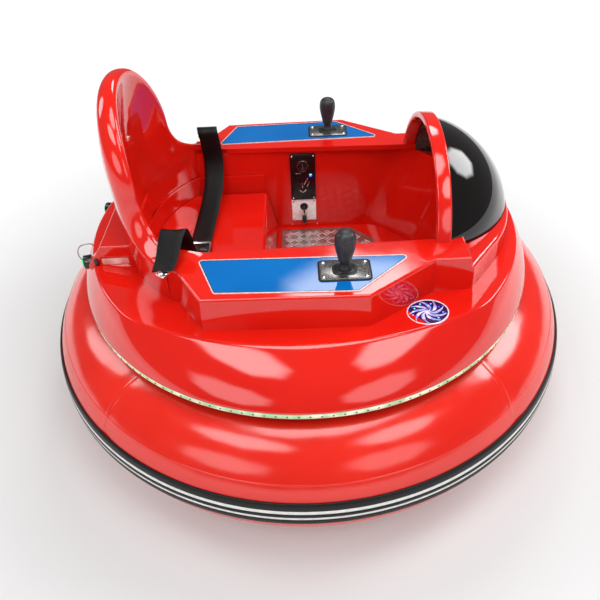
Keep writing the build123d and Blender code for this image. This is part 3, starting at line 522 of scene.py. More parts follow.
def arcThrough(a, b, c, count):
    # Points on the arc that starts at a, passes b and ends at c
    ax, ay, bx, by, cx, cy = *a, *b, *c
    d = 2 * (ax * (by - cy) + bx * (cy - ay) + cx * (ay - by))
    ux = ((ax**2 + ay**2) * (by - cy) + (bx**2 + by**2) * (cy - ay) + (cx**2 + cy**2) * (ay - by)) / d
    uy = ((ax**2 + ay**2) * (cx - bx) + (bx**2 + by**2) * (ax - cx) + (cx**2 + cy**2) * (bx - ax)) / d
    radius = math.hypot(ax - ux, ay - uy)
    first = math.atan2(ay - uy, ax - ux)
    sweep = (math.atan2(cy - uy, cx - ux) - first + math.pi) % (2 * math.pi) - math.pi
    turns = [first + sweep * i / count for i in range(count + 1)]
    return [(ux + radius * math.cos(t), uy + radius * math.sin(t)) for t in turns]


def creaseTable():
    spots = [(r * math.cos(math.radians(a)), r * math.sin(math.radians(a))) for a, r in body["quadrant"]]
    line = []
    for i in (0, 2, 4):
        line += arcThrough(*spots[i : i + 3], 40)
    return [(math.degrees(math.atan2(y, x)), math.hypot(x, y)) for x, y in line]


creaseLine = creaseTable()


def creaseRadius(around):
    angle = abs((around + 180) % 360 - 180)
    angle = min(angle, 180 - angle)
    for (a, ra), (b, rb) in zip(creaseLine, creaseLine[1:]):
        if a <= angle <= b and b > a:
            return ra + (rb - ra) * (angle - a) / (b - a)
    return creaseLine[-1][1]


def skirtSpot(radius, rise, grow=0.0):
    # rise goes from 0 at the skirt's foot to 1 at the crease, whose radius is given
    share = rise * (body["bulge"] + (1 - body["bulge"]) * rise)
    height = body["low"] + rise * (body["crease"] - body["low"])
    return (body["radius"] + share * (radius - body["radius"]) + grow, height)


def bodyProfile(around):
    # One section of the shell: up the skirt, over the crease, in along the deck and back under it
    crease = creaseRadius(around)
    reach = crease - body["inner"]

    def deckSpot(inset, drop=0.0):
        return (crease - inset, body["crease"] - body["rise"] * min(inset / body["band"], 1) - drop)

    profile = [skirtSpot(crease, 0.0, -2.0), skirtSpot(crease, 0.01, -0.6), skirtSpot(crease, 0.03)]
    profile += [skirtSpot(crease, k / 14) for k in range(1, 13)]
    profile += [skirtSpot(crease, 0.92), skirtSpot(crease, 0.955)]
    profile += [skirtSpot(crease, 0.98, -0.1), deckSpot(0.9, 0.35), deckSpot(2.2, 0.05), deckSpot(4.0)]
    profile += [deckSpot(7 + (reach - 7) * k / 9) for k in range(10)]
    wall = body["wall"]
    profile += [deckSpot(reach, wall), deckSpot(reach / 2, wall), deckSpot(2 * wall, wall)]
    profile += [skirtSpot(crease, 0.6, -wall), skirtSpot(crease, 0.3, -wall), skirtSpot(crease, 0.0, -wall)]
    return profile


def makeBody():
    points, count = [], body["around"]
    for i in range(count):
        around = 360 * i / count
        turn = math.radians(around)
        profile = bodyProfile(around)
        points += [(r * math.cos(turn), r * math.sin(turn), h) for r, h in profile]
    faces = gridFaces(count, len(profile), wrapRows=True, wrapColumns=True)
    newPiece("lowerBody", points, faces, gelcoatRed, "body_red", ("lower_body",), sharp=50)


makeBody()

# Block over the battery bay behind the seat, with a pocket in each side
tail = {
    "half": 155.0,
    "side": ((-352.0, 376.0), (-352.0, 440.0), (-415.0, 440.0), (-450.0, 393.0), (-450.0, 376.0)),
    "pocket": ((-363.0, 388.0), (-363.0, 412.0), (-420.0, 412.0), (-428.0, 401.0), (-428.0, 388.0)),
    "depth": 5.0,
    "taper": (0.9, 0.76),  # the pocket's floor as shares of its mouth
    "round": 4.0,
    "highlightSpot": (-393.0, 400.0),
    "cap": (-431.0, 398.0),
    "wire": (
        (-428, -150, 440), (-431, -153, 447), (-441, -158, 450), (-452, -160, 446), (-459, -161, 434),
        (-459, -161, 420), (-452, -160, 409), (-444, -158, 407), (-438, -157, 412),
    ),
}


def makeTail():
    half, side, pocket = tail["half"], tail["side"], tail["pocket"]
    count = len(side)
    middle = (sum(x for x, _ in pocket) / count, sum(z for _, z in pocket) / count)
    long, tall = tail["taper"]
    inner = [(middle[0] + (x - middle[0]) * long, middle[1] + (z - middle[1]) * tall) for x, z in pocket]
    points = []
    for sign in (1, -1):
        points += [(x, sign * half, z) for x, z in side]
        points += [(x, sign * half, z) for x, z in pocket]
        points += [(x, sign * (half - tail["depth"]), z) for x, z in inner]
    faces = []
    for base in (0, 3 * count):
        for k in range(count):
            n = (k + 1) % count
            faces.append((base + k, base + n, base + count + n, base + count + k))
            faces.append((base + count + k, base + count + n, base + 2 * count + n, base + 2 * count + k))
        faces.append(tuple(base + 2 * count + k for k in range(count)))
    faces += [(k, (k + 1) % count, 3 * count + (k + 1) % count, 3 * count + k) for k in range(count)]
    block = newPiece("tailBlock", points, faces, gelcoatRed, "body_red", ("lower_body",), sharp=30)
    soften(block, tail["round"], 4)


def soften(obj, width, segments, limit=25):
    # Rounded edges with the flat faces kept flat
    bevel = obj.modifiers.new("rounded edges", "BEVEL")
    bevel.width = width * mm
    bevel.segments = segments
    bevel.limit_method = "ANGLE"
    bevel.angle_limit = math.radians(limit)
    bevel.harden_normals = True


def makeTailFittings():
    # A pale painted highlight in each pocket, a black cap at its end, and a small wire loop at one corner
    highlightSlabs, caps = [], []
    for sign in (1, -1):
        x, z = tail["highlightSpot"]
        place = Place((x, sign * (tail["half"] - tail["depth"]), z), (0, sign, 0), (1, 0, 0))
        highlightSlabs.append(slab(place, 56, 15, 3, -0.5, 3.0, 0.8))
        x, z = tail["cap"]
        place = Place((x, sign * tail["half"], z), (0, sign, 0), (1, 0, 0))
        caps.append(slab(place, 8, 24, 2, -4, 3.5, 0.8))
    # Painted highlight: the pale slabs stand for light on the pockets' bevels
    newPiece("tailPocketHighlights", *joined(*highlightSlabs), pocketHighlight, "tail_housing")
    newPiece("tailCaps", *joined(*caps), satinBlack, "tail_housing")
    newPiece("wireLoop", *tube(tail["wire"], 1.1), platedSteel, "tail_housing")


makeTail()
makeTailFittings()

# Band of lights under the skirt: a lit tube with its chips showing
band = {
    "radius": 499.4,
    "depth": 6.4,
    "low": 304.4,
    "high": 317.0,
    "crown": 2.2,
    "around": 288,
    "chips": 156,
    "chip": 2.0,
    "chipDepth": 0.9,
    "chipHeight": 311.4,
}


def makeBand():
    outer, low, high, crown = (band[k] for k in ("radius", "low", "high", "crown"))
    middle, half = (low + high) / 2, (high - low) / 2
    profile = []
    for k in range(9):
        turn = -math.pi / 2 + math.pi * k / 8
        profile.append((outer - crown + crown * math.cos(turn), middle + half * math.sin(turn)))
    profile += [(outer - band["depth"], high), (outer - band["depth"], low)]
    points, faces = spun(profile, band["around"])
    newPiece("ledTube", points, faces, bandLight, "light_strip", ("led_strip",), sharp=60)


makeBand()
print("body and lights made")


# One node tree as a plain mesh: inputs are set by socket identifier before it is first evaluated
def bakeTree(name, tree, inputs, start=None):
    holder = bpy.data.objects.new(f"{name}Source", start or bpy.data.meshes.new(f"{name}Start"))
    bpy.context.scene.collection.objects.link(holder)
    modifier = holder.modifiers.new("nodes", "NODES")
    modifier.node_group = tree
    for item in tree.interface.items_tree:
        if item.in_out == "INPUT" and item.name in inputs:
            modifier[item.identifier] = inputs[item.name]
    bpy.context.view_layer.update()
    graph = bpy.context.evaluated_depsgraph_get()
    mesh = bpy.data.meshes.new_from_object(holder.evaluated_get(graph))
    holder.modifiers.remove(modifier)
    bpy.data.objects.remove(holder)
    mesh.name = name
    return onCar(name, mesh)


def newTree(name, sockets):
    tree = bpy.data.node_groups.new(name, "GeometryNodeTree")
    tree.interface.new_socket("Geometry", in_out="INPUT", socket_type="NodeSocketGeometry")
    for label, value in sockets.items():
        kind = "NodeSocketInt" if isinstance(value, int) else "NodeSocketFloat"
        tree.interface.new_socket(label, in_out="INPUT", socket_type=kind).default_value = value
    tree.interface.new_socket("Geometry", in_out="OUTPUT", socket_type="NodeSocketGeometry")
    return tree, tree.nodes.new("NodeGroupInput"), tree.nodes.new("NodeGroupOutput")


def endTree(tree, instances, end, material):
    real = addNode(tree, "GeometryNodeRealizeInstances", Geometry=instances)
    painted = addNode(tree, "GeometryNodeSetMaterial", {"Material": material}, Geometry=real.outputs[0])
    tree.links.new(painted.outputs[0], end.inputs[0])


# Light chips: small studs facing outwards round a circle
def makeChips():
    sizes = {
        "Count": band["chips"],
        "Radius": band["radius"] * mm,
        "Height": band["chipHeight"] * mm,
        "Chip": band["chip"] * mm,
        "Depth": band["chipDepth"] * mm,
    }
    tree, start, end = newTree("lightChips", sizes)
    count, radius, height, chip, depth = (start.outputs[label] for label in sizes)
    circle = addNode(tree, "GeometryNodeMeshCircle", Vertices=count, Radius=radius)
    lift = addNode(tree, "ShaderNodeCombineXYZ", Z=height)
    raised = addNode(tree, "GeometryNodeSetPosition", Geometry=circle.outputs[0], Offset=lift.outputs[0])
    spot = addNode(tree, "GeometryNodeInputPosition").outputs[0]
    outward = addNode(tree, "ShaderNodeVectorMath", {"operation": "MULTIPLY"}, i0=spot, i1=(1, 1, 0))
    turn = addNode(tree, "FunctionNodeAlignRotationToVector", {"axis": "Z"}, Vector=outward.outputs[0])
    chip = addNode(tree, "GeometryNodeMeshCylinder", Vertices=8, Radius=chip, Depth=depth)
    placed = addNode(
        tree,
        "GeometryNodeInstanceOnPoints",
        Points=raised.outputs[0],
        Instance=chip.outputs[0],
        Rotation=turn.outputs[0],
    )
    endTree(tree, placed.outputs[0], end, platedSteel)
    bakeTree("ledChips", tree, sizes)


makeChips()


# Domed heads on given places: a head is a squashed ball sunk in its seat
def makeHeads(name, places, radius, rise):
    # places are (spot in mm, outward direction)
    mesh = bpy.data.meshes.new(f"{name}Start")
    mesh.from_pydata([[c * mm for c in spot] for spot, _ in places], [], [])
    out = mesh.attributes.new("outward", "FLOAT_VECTOR", "POINT")
    out.data.foreach_set("vector", [c for _, way in places for c in Vector(way).normalized()])
    sizes = {"Radius": radius * mm, "Rise": rise * mm}
    tree, start, end = newTree(f"{name}Heads", sizes)
    size, high = start.outputs["Radius"], start.outputs["Rise"]
    whole = addNode(tree, "GeometryNodeMeshUVSphere", Segments=16, Rings=8, Radius=size)
    share = addNode(tree, "ShaderNodeMath", {"operation": "DIVIDE"}, i0=high, i1=size).outputs[0]
    squash = addNode(tree, "ShaderNodeCombineXYZ", X=1.0, Y=1.0, Z=share)
    head = addNode(tree, "GeometryNodeTransform", Geometry=whole.outputs[0], Scale=squash.outputs[0])
    way = addNode(tree, "GeometryNodeInputNamedAttribute", {"data_type": "FLOAT_VECTOR", "Name": "outward"})
    turn = addNode(tree, "FunctionNodeAlignRotationToVector", {"axis": "Z"}, Vector=way.outputs[0])
    placed = addNode(
        tree,
        "GeometryNodeInstanceOnPoints",
        Points=start.outputs[0],
        Instance=head.outputs[0],
        Rotation=turn.outputs[0],
    )
    endTree(tree, placed.outputs[0], end, chrome)
    heads = bakeTree(name, tree, sizes, mesh)
    heads.data.polygons.foreach_set("use_smooth", [True] * len(heads.data.polygons))


# Hull: the frame's own shape up to the armrests, with its curves' true normals
hull = {"armrest": 457.0, "slack": 0.05}


def makeHull():
    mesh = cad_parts["upper_hull"].data.copy()
    mesh.name = "upperHull"
    carried = mesh.attributes.new("carried", "FLOAT_VECTOR", "CORNER")
    carried.data.foreach_set("vector", [c for corner in mesh.corner_normals for c in corner.vector])
    work = bmesh.new()
    work.from_mesh(mesh)
    top = (hull["armrest"] + hull["slack"]) * mm
    above = [face for face in work.faces if face.calc_center_median().z >= top]
    bmesh.ops.delete(work, geom=above, context="FACES")
    work.to_mesh(mesh)
    work.free()
    normals = [tuple(item.vector) for item in mesh.attributes["carried"].data]
    mesh.attributes.remove(mesh.attributes["carried"])
    mesh.normals_split_custom_set(normals)
    mesh.materials.clear()
    mesh.materials.append(gelcoatRed)
    onCar("upperHull", mesh, ("upper_hull",))


makeHull()

# Seat: the frame's block made of whole faces again, with its edges rolled; angles are in degrees
seat = {"weld": 0.01, "flat": 0.6, "sharp": 35, "roll": 7.0, "rollFrom": 40}


def makeSeat():
    work = bmesh.new()
    work.from_mesh(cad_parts["seat_base"].data)
    bmesh.ops.remove_doubles(work, verts=work.verts, dist=seat["weld"] * mm)
    bmesh.ops.dissolve_limit(work, angle_limit=math.radians(seat["flat"]), verts=work.verts, edges=work.edges)
    mesh = bpy.data.meshes.new("seatBlock")
    work.to_mesh(mesh)
    work.free()
    mesh.polygons.foreach_set("use_smooth", [True] * len(mesh.polygons))
    mesh.set_sharp_from_angle(angle=math.radians(seat["sharp"]))
    mesh.materials.append(gelcoatRed)
    block = onCar("seatBlock", mesh, ("seat_base",))
    soften(block, seat["roll"], 4, seat["rollFrom"])


makeSeat()

# Seat back: a wall bent about an upright axis, cut to a rounded outline with a rolled rim
seatBack = {
    "axis": -70.0,
    "reach": 192.3,  # from the axis to the plane where the hull ends
    "radius": 325.0,
    "wall": 38.0,
    "foot": 384.3,
    "bend": 575.0,
    "top": 728.0,
    "lean": 26.0,
    "shoulder": (176.0, 552.0),  # radius, centre height
    "flare": (105.0, 281.0, 556.0),  # radius, centre's y and height
    "outer": 262.0,
    "rim": 17.0,
    "lowRim": 3.0,  # below the armrests the rim is this sharp
    "rimFrom": 450.0,
    "rimOver": 45.0,
    "crowd": 1.3,  # how much closer together the rows lie near the rim
    "turnFrom": 0.8,  # degrees above the shoulder's centre where the flare meets it
}


def flareHeight(y):
    radius, fy, fz = seatBack["flare"]
    return fz - math.sqrt(max(radius**2 - (fy - y) ** 2, 0))


def backOutline():
    # Right half of the outline from the foot to the top, as (y, z)
    outer = seatBack["outer"]
    spots = [(outer, seatBack["foot"] + k * (flareHeight(outer) - seatBack["foot"]) / 5) for k in range(5)]
    radius, fy, fz = seatBack["flare"]
    first = math.atan2(flareHeight(outer) - fz, outer - fy) + 2 * math.pi
    meet = math.radians(seatBack["turnFrom"])
    for k in range(20):
        turn = first + (math.pi + meet - first) * k / 20
        spots.append((fy + radius * math.cos(turn), fz + radius * math.sin(turn)))
    radius, centre = seatBack["shoulder"]
    for k in range(33):
        turn = meet + (math.pi / 2 - meet) * k / 32
        spots.append((radius * math.cos(turn), centre + radius * math.sin(turn)))
    return spots


def backSpot(y, z, depth):
    # A spot of the outline bent round the axis, depth under the outer face
    lean = seatBack["lean"] * max(0.0, (z - seatBack["bend"]) / (seatBack["top"] - seatBack["bend"])) ** 2
    reach = seatBack["radius"] - lean - depth
    limit = math.sqrt(reach**2 - seatBack["reach"] ** 2)
    y = max(-limit, min(limit, y))
    return (seatBack["axis"] - math.sqrt(reach**2 - y**2), y, z)


def backSection(y, z):
    # Points across the wall at one place of the outline, from the outer face's middle to the inner one's
    aim = (0.0, min(z, seatBack["shoulder"][1]))
    far = math.hypot(aim[0] - y, aim[1] - z)
    way = ((aim[0] - y) / far, (aim[1] - z) / far)
    ease = min(max((z - seatBack["rimFrom"]) / seatBack["rimOver"], 0), 1)
    rim = seatBack["lowRim"] + (seatBack["rim"] - seatBack["lowRim"]) * ease * ease * (3 - 2 * ease)
    wall = seatBack["wall"]
    face = [rim + (far - rim) * (k / 9) ** seatBack["crowd"] for k in range(1, 10)]
    steps = [(inset, 0.0) for inset in reversed(face)]
    for k in range(7):
        turn = math.pi / 2 * k / 6
        steps.append((rim * (1 - math.sin(turn)), rim * (1 - math.cos(turn))))
    for k in range(7):
        turn = math.pi / 2 * k / 6
        steps.append((rim * (1 - math.cos(turn)), wall - rim * (1 - math.sin(turn))))
    steps += [(inset, wall) for inset in face]
    return [backSpot(y + way[0] * inset, z + way[1] * inset, depth) for inset, depth in steps]


def makeSeatBack():
    half = backOutline()
    outline = half + [(-y, z) for y, z in reversed(half[:-1])]
    sections = [backSection(y, z) for y, z in outline]
    count = len(sections[0])
    points = [spot for section in sections for spot in section]
    faces = gridFaces(len(sections), count) + endCaps(len(sections), count)
    newPiece("seatBack", points, faces, gelcoatRed, "body_red", ("seat_back",), sharp=50, weld=0.05)


# Cheeks: where the seat back's rim flows down into the armrests
cheek = {
    "rear": -262.6,
    "front": -182.0,
    "inner": 214.0,  # where the taper starts, and the hull narrows by it towards the front
    "taperFrom": -262.0,
    "taper": 18.0 / 547.0,
    "gap": 1.5,  # to the seat back's outer edge
    "low": 448.0,
    "skin": 0.15,  # least height over the armrest
    "edge": 4.0,  # how far the inner edge is rounded down
    "edgeWidth": 9.0,
    "rows": 18,
    "columns": 14,
}


def makeCheeks():
    shells = []
    rows, columns, outer = cheek["rows"], cheek["columns"], seatBack["outer"] - cheek["gap"]
    for sign in (1, -1):
        points = []
        for i in range(rows):
            share = i / (rows - 1)
            x = cheek["rear"] + share * (cheek["front"] - cheek["rear"])
            ease = 1 - share * share * (3 - 2 * share)
            inner = cheek["inner"] - cheek["taper"] * (x - cheek["taperFrom"])
            line = [(inner, cheek["low"]), (inner, hull["armrest"] - 1)]
            for j in range(columns):
                y = inner + (outer - inner) * j / (columns - 1)
                rise = max(flareHeight(y) - hull["armrest"], 0) * ease + cheek["skin"]
                drop = cheek["edge"] * ease * max(0.0, 1 - (y - inner) / cheek["edgeWidth"]) ** 2
                line.append((y, hull["armrest"] + max(rise - drop, 0.1)))
            line.append((outer, cheek["low"]))
            points += [(x, sign * y, z) for y, z in line]
        count = columns + 3
        shells.append((points, gridFaces(rows, count, wrapColumns=True) + endCaps(rows, count)))
    newPiece("hullCheeks", *joined(*shells), gelcoatRed, "body_red", sharp=55)


makeSeatBack()
makeCheeks()

# Arch behind the dome and the dome itself, parts of one ball
ball = {
    "x": 229.0,
    "z": 385.0,
    "radius": 221.0,
    "wall": 4.0,
    "front": 285.0,
    "deck": 440.0,
    "rows": 40,
    "columns": 72,
}
arch = {"rear": 256.0, "front": 284.7, "outer": 223.0, "rim": 14.0, "round": 4.0, "foot": 457.0}


def makeArch():
    middle = ((arch["rear"] + arch["front"]) / 2, arch["outer"] - arch["rim"] / 2)
    section = roundedBox(arch["front"] - arch["rear"], arch["rim"], arch["round"], 4)
    points, rows = [], 96
    for i in range(rows + 1):
        for dx, dr in section:
            radius = middle[1] + dr
            start = math.asin((arch["foot"] - ball["z"]) / radius)
            turn = start + (math.pi - 2 * start) * i / rows
            points.append((middle[0] + dx, radius * math.cos(turn), ball["z"] + radius * math.sin(turn)))
    count = len(section)
    faces = gridFaces(rows + 1, count, wrapColumns=True) + endCaps(rows + 1, count)
    newPiece("windscreenArch", points, faces, gelcoatRed, "body_red", ("windscreen_arch",), sharp=50)


def domeShell(radius):
    # Rows round the ball from the arch to the nose, each from side to side over the top
    points = []
    first = math.acos((ball["front"] - ball["x"]) / radius)
    last = math.asin((ball["deck"] - ball["z"]) / radius) + 1e-4
    for i in range(ball["rows"]):
        turn = first + (last - first) * i / (ball["rows"] - 1)
        x, out = ball["x"] + radius * math.cos(turn), radius * math.sin(turn)
        edge = math.asin(min((ball["deck"] - ball["z"]) / out, 1))
        for j in range(ball["columns"]):
            side = edge + (math.pi - 2 * edge) * j / (ball["columns"] - 1)
            points.append((x, out * math.cos(side), ball["z"] + out * math.sin(side)))
    return points


def makeDome():
    rows, columns = ball["rows"], ball["columns"]
    outer, inner = domeShell(ball["radius"]), domeShell(ball["radius"] - ball["wall"])
    start = rows * columns
    faces = gridFaces(rows, columns) + gridFaces(rows, columns, start=start)
    faces += [(j, j + 1, start + j + 1, start + j) for j in range(columns - 1)]
    for j in (0, columns - 1):
        for i in range(rows - 1):
            a, b = i * columns + j, (i + 1) * columns + j
            faces.append((a, b, start + b, start + a))
    newPiece("smokedDome", outer + inner, faces, smokedAcrylic, "dome_black", ("dome",), sharp=60)


makeArch()
makeDome()
print("hull, seat back, arch and dome made")

# Armrest panels keep the frame's shape; a pale line of painted highlight and a dark one run round each
panel = {
    "corners": ((-201, 237), (-163, 333), (95, 341), (200, 245)),
    "round": 6.0,
    "top": 458.2,
    "rise": 0.3,
    # name, where it starts and ends inwards of the panel's edge, how deep it reaches
    "lines": (("panelTrim", -1.6, 0.6, 1.4, trimPaintedHighlight), ("panelLine", 0.6, 1.9, 0.2, satinBlack)),
}


def insetOutline(corners, inset, radius, steps=5):
    # A convex outline moved inwards, its corners rounded
    count = len(corners)
    sides = list(zip(corners, (*corners[1:], corners[0])))
    sign = 1 if sum(ax * by - bx * ay for (ax, ay), (bx, by) in sides) > 0 else -1
    lines = []
    for a, b in sides:
        way = (Vector(b) - Vector(a)).normalized()
        normal = Vector((-way.y, way.x)) * sign
        lines.append((Vector(a) + normal * inset, way, normal))
    spots = []
    for i in range(count):
        (p, d, n), (q, e, m) = lines[i - 1], lines[i]
        cross = d.x * e.y - d.y * e.x
        shift = q - p
        corner = p + d * ((shift.x * e.y - shift.y * e.x) / cross)
        half = math.acos(max(-1, min(1, n.dot(m)))) / 2
        centre = corner + (n + m).normalized() * (radius / math.cos(half))
        first = math.atan2(-n.y, -n.x)
        sweep = (math.atan2(-m.y, -m.x) - first + math.pi) % (2 * math.pi) - math.pi
        for k in range(steps + 1):
            turn = first + sweep * k / steps
            spots.append((centre.x + radius * math.cos(turn), centre.y + radius * math.sin(turn)))
    return spots


def frameStrip(corners, outside, inside, radius, low, high):
    # A strip round an outline, from outside it to inside it, with a softened upper face
    outer = insetOutline(corners, outside, max(radius - outside, 1))
    inner = insetOutline(corners, inside, max(radius - inside, 1))
    middle = insetOutline(corners, (outside + inside) / 2, max(radius - (outside + inside) / 2, 1))
    layers = ((outer, low), (outer, high - 0.1), (middle, high), (inner, high - 0.1), (inner, low))
    points = [(x, y, z) for outline, z in layers for x, y in outline]
    return points, gridFaces(len(layers), len(outer), wrapRows=True, wrapColumns=True)


def makePanels():
    for name, outside, inside, depth, material in panel["lines"]:
        low, high = panel["top"] - depth, panel["top"] + panel["rise"]
        shells = []
        for sign in (1, -1):
            corners = [(x, sign * y) for x, y in panel["corners"]]
            shells.append(frameStrip(corners, outside, inside, panel["round"], low, high))
        newPiece(name, *joined(*shells), material, "panel_blue", sharp=60)


makePanels()

# Control sticks: a rubber gasket, a steel plate with four screws, a boot and the grip
stick = {
    "x": 73.0,
    "y": 284.0,
    "gasket": (98.0, 60.0, 8.0),  # length, width, corner
    "margin": 3.0,  # of the gasket round the plate
    "plateTop": 3.0,
    "screws": (39.0, 21.0),
    "foot": 465.2,
    # boot: length, width, corner and height over the panel
    "boot": (
        (46, 36, 12, 2.5), (45, 35, 12, 3.6), (41, 31, 12, 4.2), (38, 28, 12, 4.0),
        (34, 27, 12, 5.4), (30, 26, 12, 6.6), (26, 24, 11.5, 7.0),
    ),
    # grip: radius and height over its foot
    "grip": (
        (0, 0), (12.2, 0), (12.6, 1.2), (12.2, 3.2), (10.6, 5.2), (9.4, 8), (9, 11), (9.2, 15), (9.6, 16.2),
        (10.6, 16.8), (11.6, 18.5), (12.9, 24), (14.6, 31), (16.6, 39), (18.3, 47), (19.3, 55), (19.5, 60.5),
        (19.3, 63.2), (18.9, 63.9), (19.2, 64.7), (18.7, 68.5), (17.4, 72.6), (14.9, 76.4), (11.2, 79),
        (6.5, 80.5), (0, 81),
    ),
}


def makeSticks():
    length, width, corner = stick["gasket"]
    margin, low, high = stick["margin"], panel["top"], panel["top"] + stick["plateTop"]
    screws = []
    for side, sign in (("left", 1), ("right", -1)):
        place = Place((stick["x"], sign * stick["y"], 0), (0, 0, 1), (1, 0, 0))
        gasket = slab(place, length, width, corner, low, low + 2.2, 0.8)
        newPiece(f"stickGasket_{side}", *gasket, gasketRubber, "stick_steel")
        plate = slab(place, length - 2 * margin, width - 2 * margin, corner - margin, low + 1, high, 0.5)
        newPiece(f"stickPlate_{side}", *plate, platedSteel, "stick_steel", (f"stick_plate_{side}",))
        boot = [(roundedBox(*shape), low + rise) for *shape, rise in stick["boot"]]
        newPiece(f"stickBoot_{side}", *lofted(place, boot), gasketRubber, "stick_black", sharp=50)
        grip = spun([(r, stick["foot"] + h) for r, h in stick["grip"]], 48, place, closed=False)
        newPiece(f"stickGrip_{side}", *grip, gripPlastic, "stick_black", (f"control_stick_{side}",), sharp=50)
        for u in (-stick["screws"][0], stick["screws"][0]):
            for v in (-stick["screws"][1], stick["screws"][1]):
                screws.append((place.at(u, v, high), place.w))
    makeHeads("plateScrews", screws, 4.2, 2.0)


makeSticks()
print("controls made")

# Left inner wall of the cockpit with the coin acceptor and the key panel on it
wall = {
    "x": 5.0,
    "coin": (64.0, 127.0, 309.0, 6.0),  # width, height, lower edge, how far it stands out
    "key": (64.0, 62.0, 246.0, 3.0),
    "inset": 5.0,  # of the screws from the plates' edges
    "foot": (200.0, 223.0),  # the wall's y and height at its foot
    "lean": 10.0 / 161.0,
    "clear": 0.3,
    # levers under the coin slot: place across and up, length, turn in degrees
    "levers": ((7, -10, 20, 62), (13, -18, 15, 62), (-2, -22, 13, 95), (3, -38, 12, 35), (-5, -38, 12, 145)),
    "bolt": (199, 243),
    "rivets": ((-28, 232), (40, 232)),
}


def wallPlace(x, height):
    foot, low = wall["foot"]
    y = foot + (height - low) * wall["lean"] - wall["clear"]
    return Place((x, y, height), (0, -1, wall["lean"]), (1, 0, 0))


def makeCoinAcceptor():
    width, height, low, out = wall["coin"]
    place = wallPlace(wall["x"], low + height / 2)
    plate = slab(place, width, height, 4, -1.0, out, 1.2)
    newPiece("coinPlate", *plate, coinPlastic, "coin_black", ("coin_acceptor",))
    rim = [(13.2, 6.0), (13.2, 8.6), (13.6, 9.2), (14.4, 9.2), (14.8, 8.6), (14.8, 6.0)]
    button = Place(place.at(0, 32, 0), place.w, place.u)
    newPiece("coinRim", *spun(rim, 40, button), chrome, "key_chrome")
    cap = [(0, 9.4), (9, 9.2), (12, 8.6), (12.8, 7.4), (12.8, 5.8), (0, 5.8)]
    slot = lofted(button, [(roundedBox(2.4, 17, 1.1, 3), 9.2), (roundedBox(2.4, 17, 1.1, 3), 9.9)])
    newPiece("coinCap", *spun(cap, 40, button, closed=False), satinBlack, "coin_black")
    newPiece("coinSlot", *slot, platedSteel, "key_chrome")
    lamp = slab(Place(place.at(20, 6, 0), place.w, place.u), 6, 7, 1, 5.8, 7.2, 0.4, 3)
    newPiece("coinLamp", *lamp, glintBlue, "fan_vane")
    levers = []
    for u, v, length, lean in wall["levers"]:
        turn = math.radians(lean)
        along = place.u * math.cos(turn) + place.v * math.sin(turn)
        levers.append(slab(Place(place.at(u, v, 0), place.w, along), length, 2.6, 1.2, 5.8, 8.4, 0.5, 3))
    newPiece("coinLevers", *joined(*levers), chrome, "key_chrome")
    hook = slab(Place(place.at(-12, 12, 0), place.w, place.u), 14, 2.2, 1, 5.8, 7.4, 0.4, 3)
    newPiece("coinHook", *hook, platedSteel, "key_chrome")


def pillow(place, width, height, radius, half):
    # A flat moulded piece with both its faces' edges eased
    face, middle = roundedBox(width - 1, height - 1, radius - 0.5), roundedBox(width, height, radius)
    return lofted(place, [(face, -half), (middle, -half / 2), (middle, half / 2), (face, half)])


def makeKeyPanel():
    width, height, low, out = wall["key"]
    place = wallPlace(wall["x"], low + height / 2)
    newPiece("keyPanel", *slab(place, width, height, 3, -1.0, out), keyPlate, "key_white", ("key_panel",))
    lock = Place(place.at(0, 10, 0), place.w, place.u)
    barrel = [(0, 8.2), (6.8, 8.2), (8.4, 7.4), (9.0, 6.0), (9.0, 4.0), (10.6, 3.6), (10.8, 2.8), (0, 2.8)]
    newPiece("lockBarrel", *spun(barrel, 36, lock, closed=False), satinBlack, "key_white")
    turned = Place(lock.at(0, 0, 20), place.u, place.w)
    bow = pillow(turned, 18, 21, 8.5, 1.6)
    blade = slab(Place(lock.at(0, 0, 11), place.u, place.w), 9, 8, 1, -1.2, 1.2, 0.4, 3)
    newPiece("keyBow", *bow, satinBlack, "key_chrome", ("keys",), sharp=45)
    newPiece("keyBlade", *blade, chrome, "key_chrome", ("keys",))
    loop = ((0, 10, 27), (5, 4, 27), (6, -6, 20), (0, -11, 15), (-6, -6, 20), (-5, 4, 27), (0, 10, 27))
    newPiece("keyRing", *tube([place.at(*spot) for spot in loop], 0.8), chrome, "key_chrome")
    tag = pillow(Place(place.at(0, -24, 9), place.w, place.u), 11, 27, 5, 1.4)
    newPiece("keyTag", *tag, satinBlack, "key_chrome", sharp=45)


def makeWallScrews():
    corners = []
    for width, height, low, out in (wall["coin"], wall["key"]):
        place = wallPlace(wall["x"], low + height / 2)
        for u in (wall["inset"] - width / 2, width / 2 - wall["inset"]):
            for v in (wall["inset"] - height / 2, height / 2 - wall["inset"]):
                corners.append((place.at(u, v, out), place.w))
    makeHeads("plateHeads", corners, 2.6, 1.5)
    bolt, *rivets = [wallPlace(x, height) for x, height in (wall["bolt"], *wall["rivets"])]
    makeHeads("wallBolts", [(bolt.at(0, 0, 0.6), bolt.w)], 4.2, 3.4)
    makeHeads("wallRivets", [(rivet.at(0, 0, 0.6), rivet.w) for rivet in rivets], 2.4, 1.6)
    washer = Place(bolt.at(0, 0, 0.6), bolt.w, (1, 0, 0))
    ringShape = [(2.0, -0.6), (8.0, -0.6), (8.4, 0.2), (7.6, 1.2), (2.0, 1.4)]
    newPiece("wallWasher", *spun(ringShape, 32, washer), platedSteel, "key_chrome")


makeCoinAcceptor()
makeKeyPanel()
makeWallScrews()

# Tread plate: clipped front corners and a herringbone of raised bars
tread = {
    "outline": ((-58, -186), (128, -186), (185, -128), (185, 128), (128, 186), (-58, 186)),
    "low": 223.0,
    "high": 226.0,
    "pitch": 25.0,
    "columns": 9,
    "rows": 14,
    "bar": (11.5, 1.9, 1.1),
    "spread": 7.6,  # between the three bars of a cell
    "corner": 232.5,  # x + |y| from the pattern's middle where the clipped corners begin
}


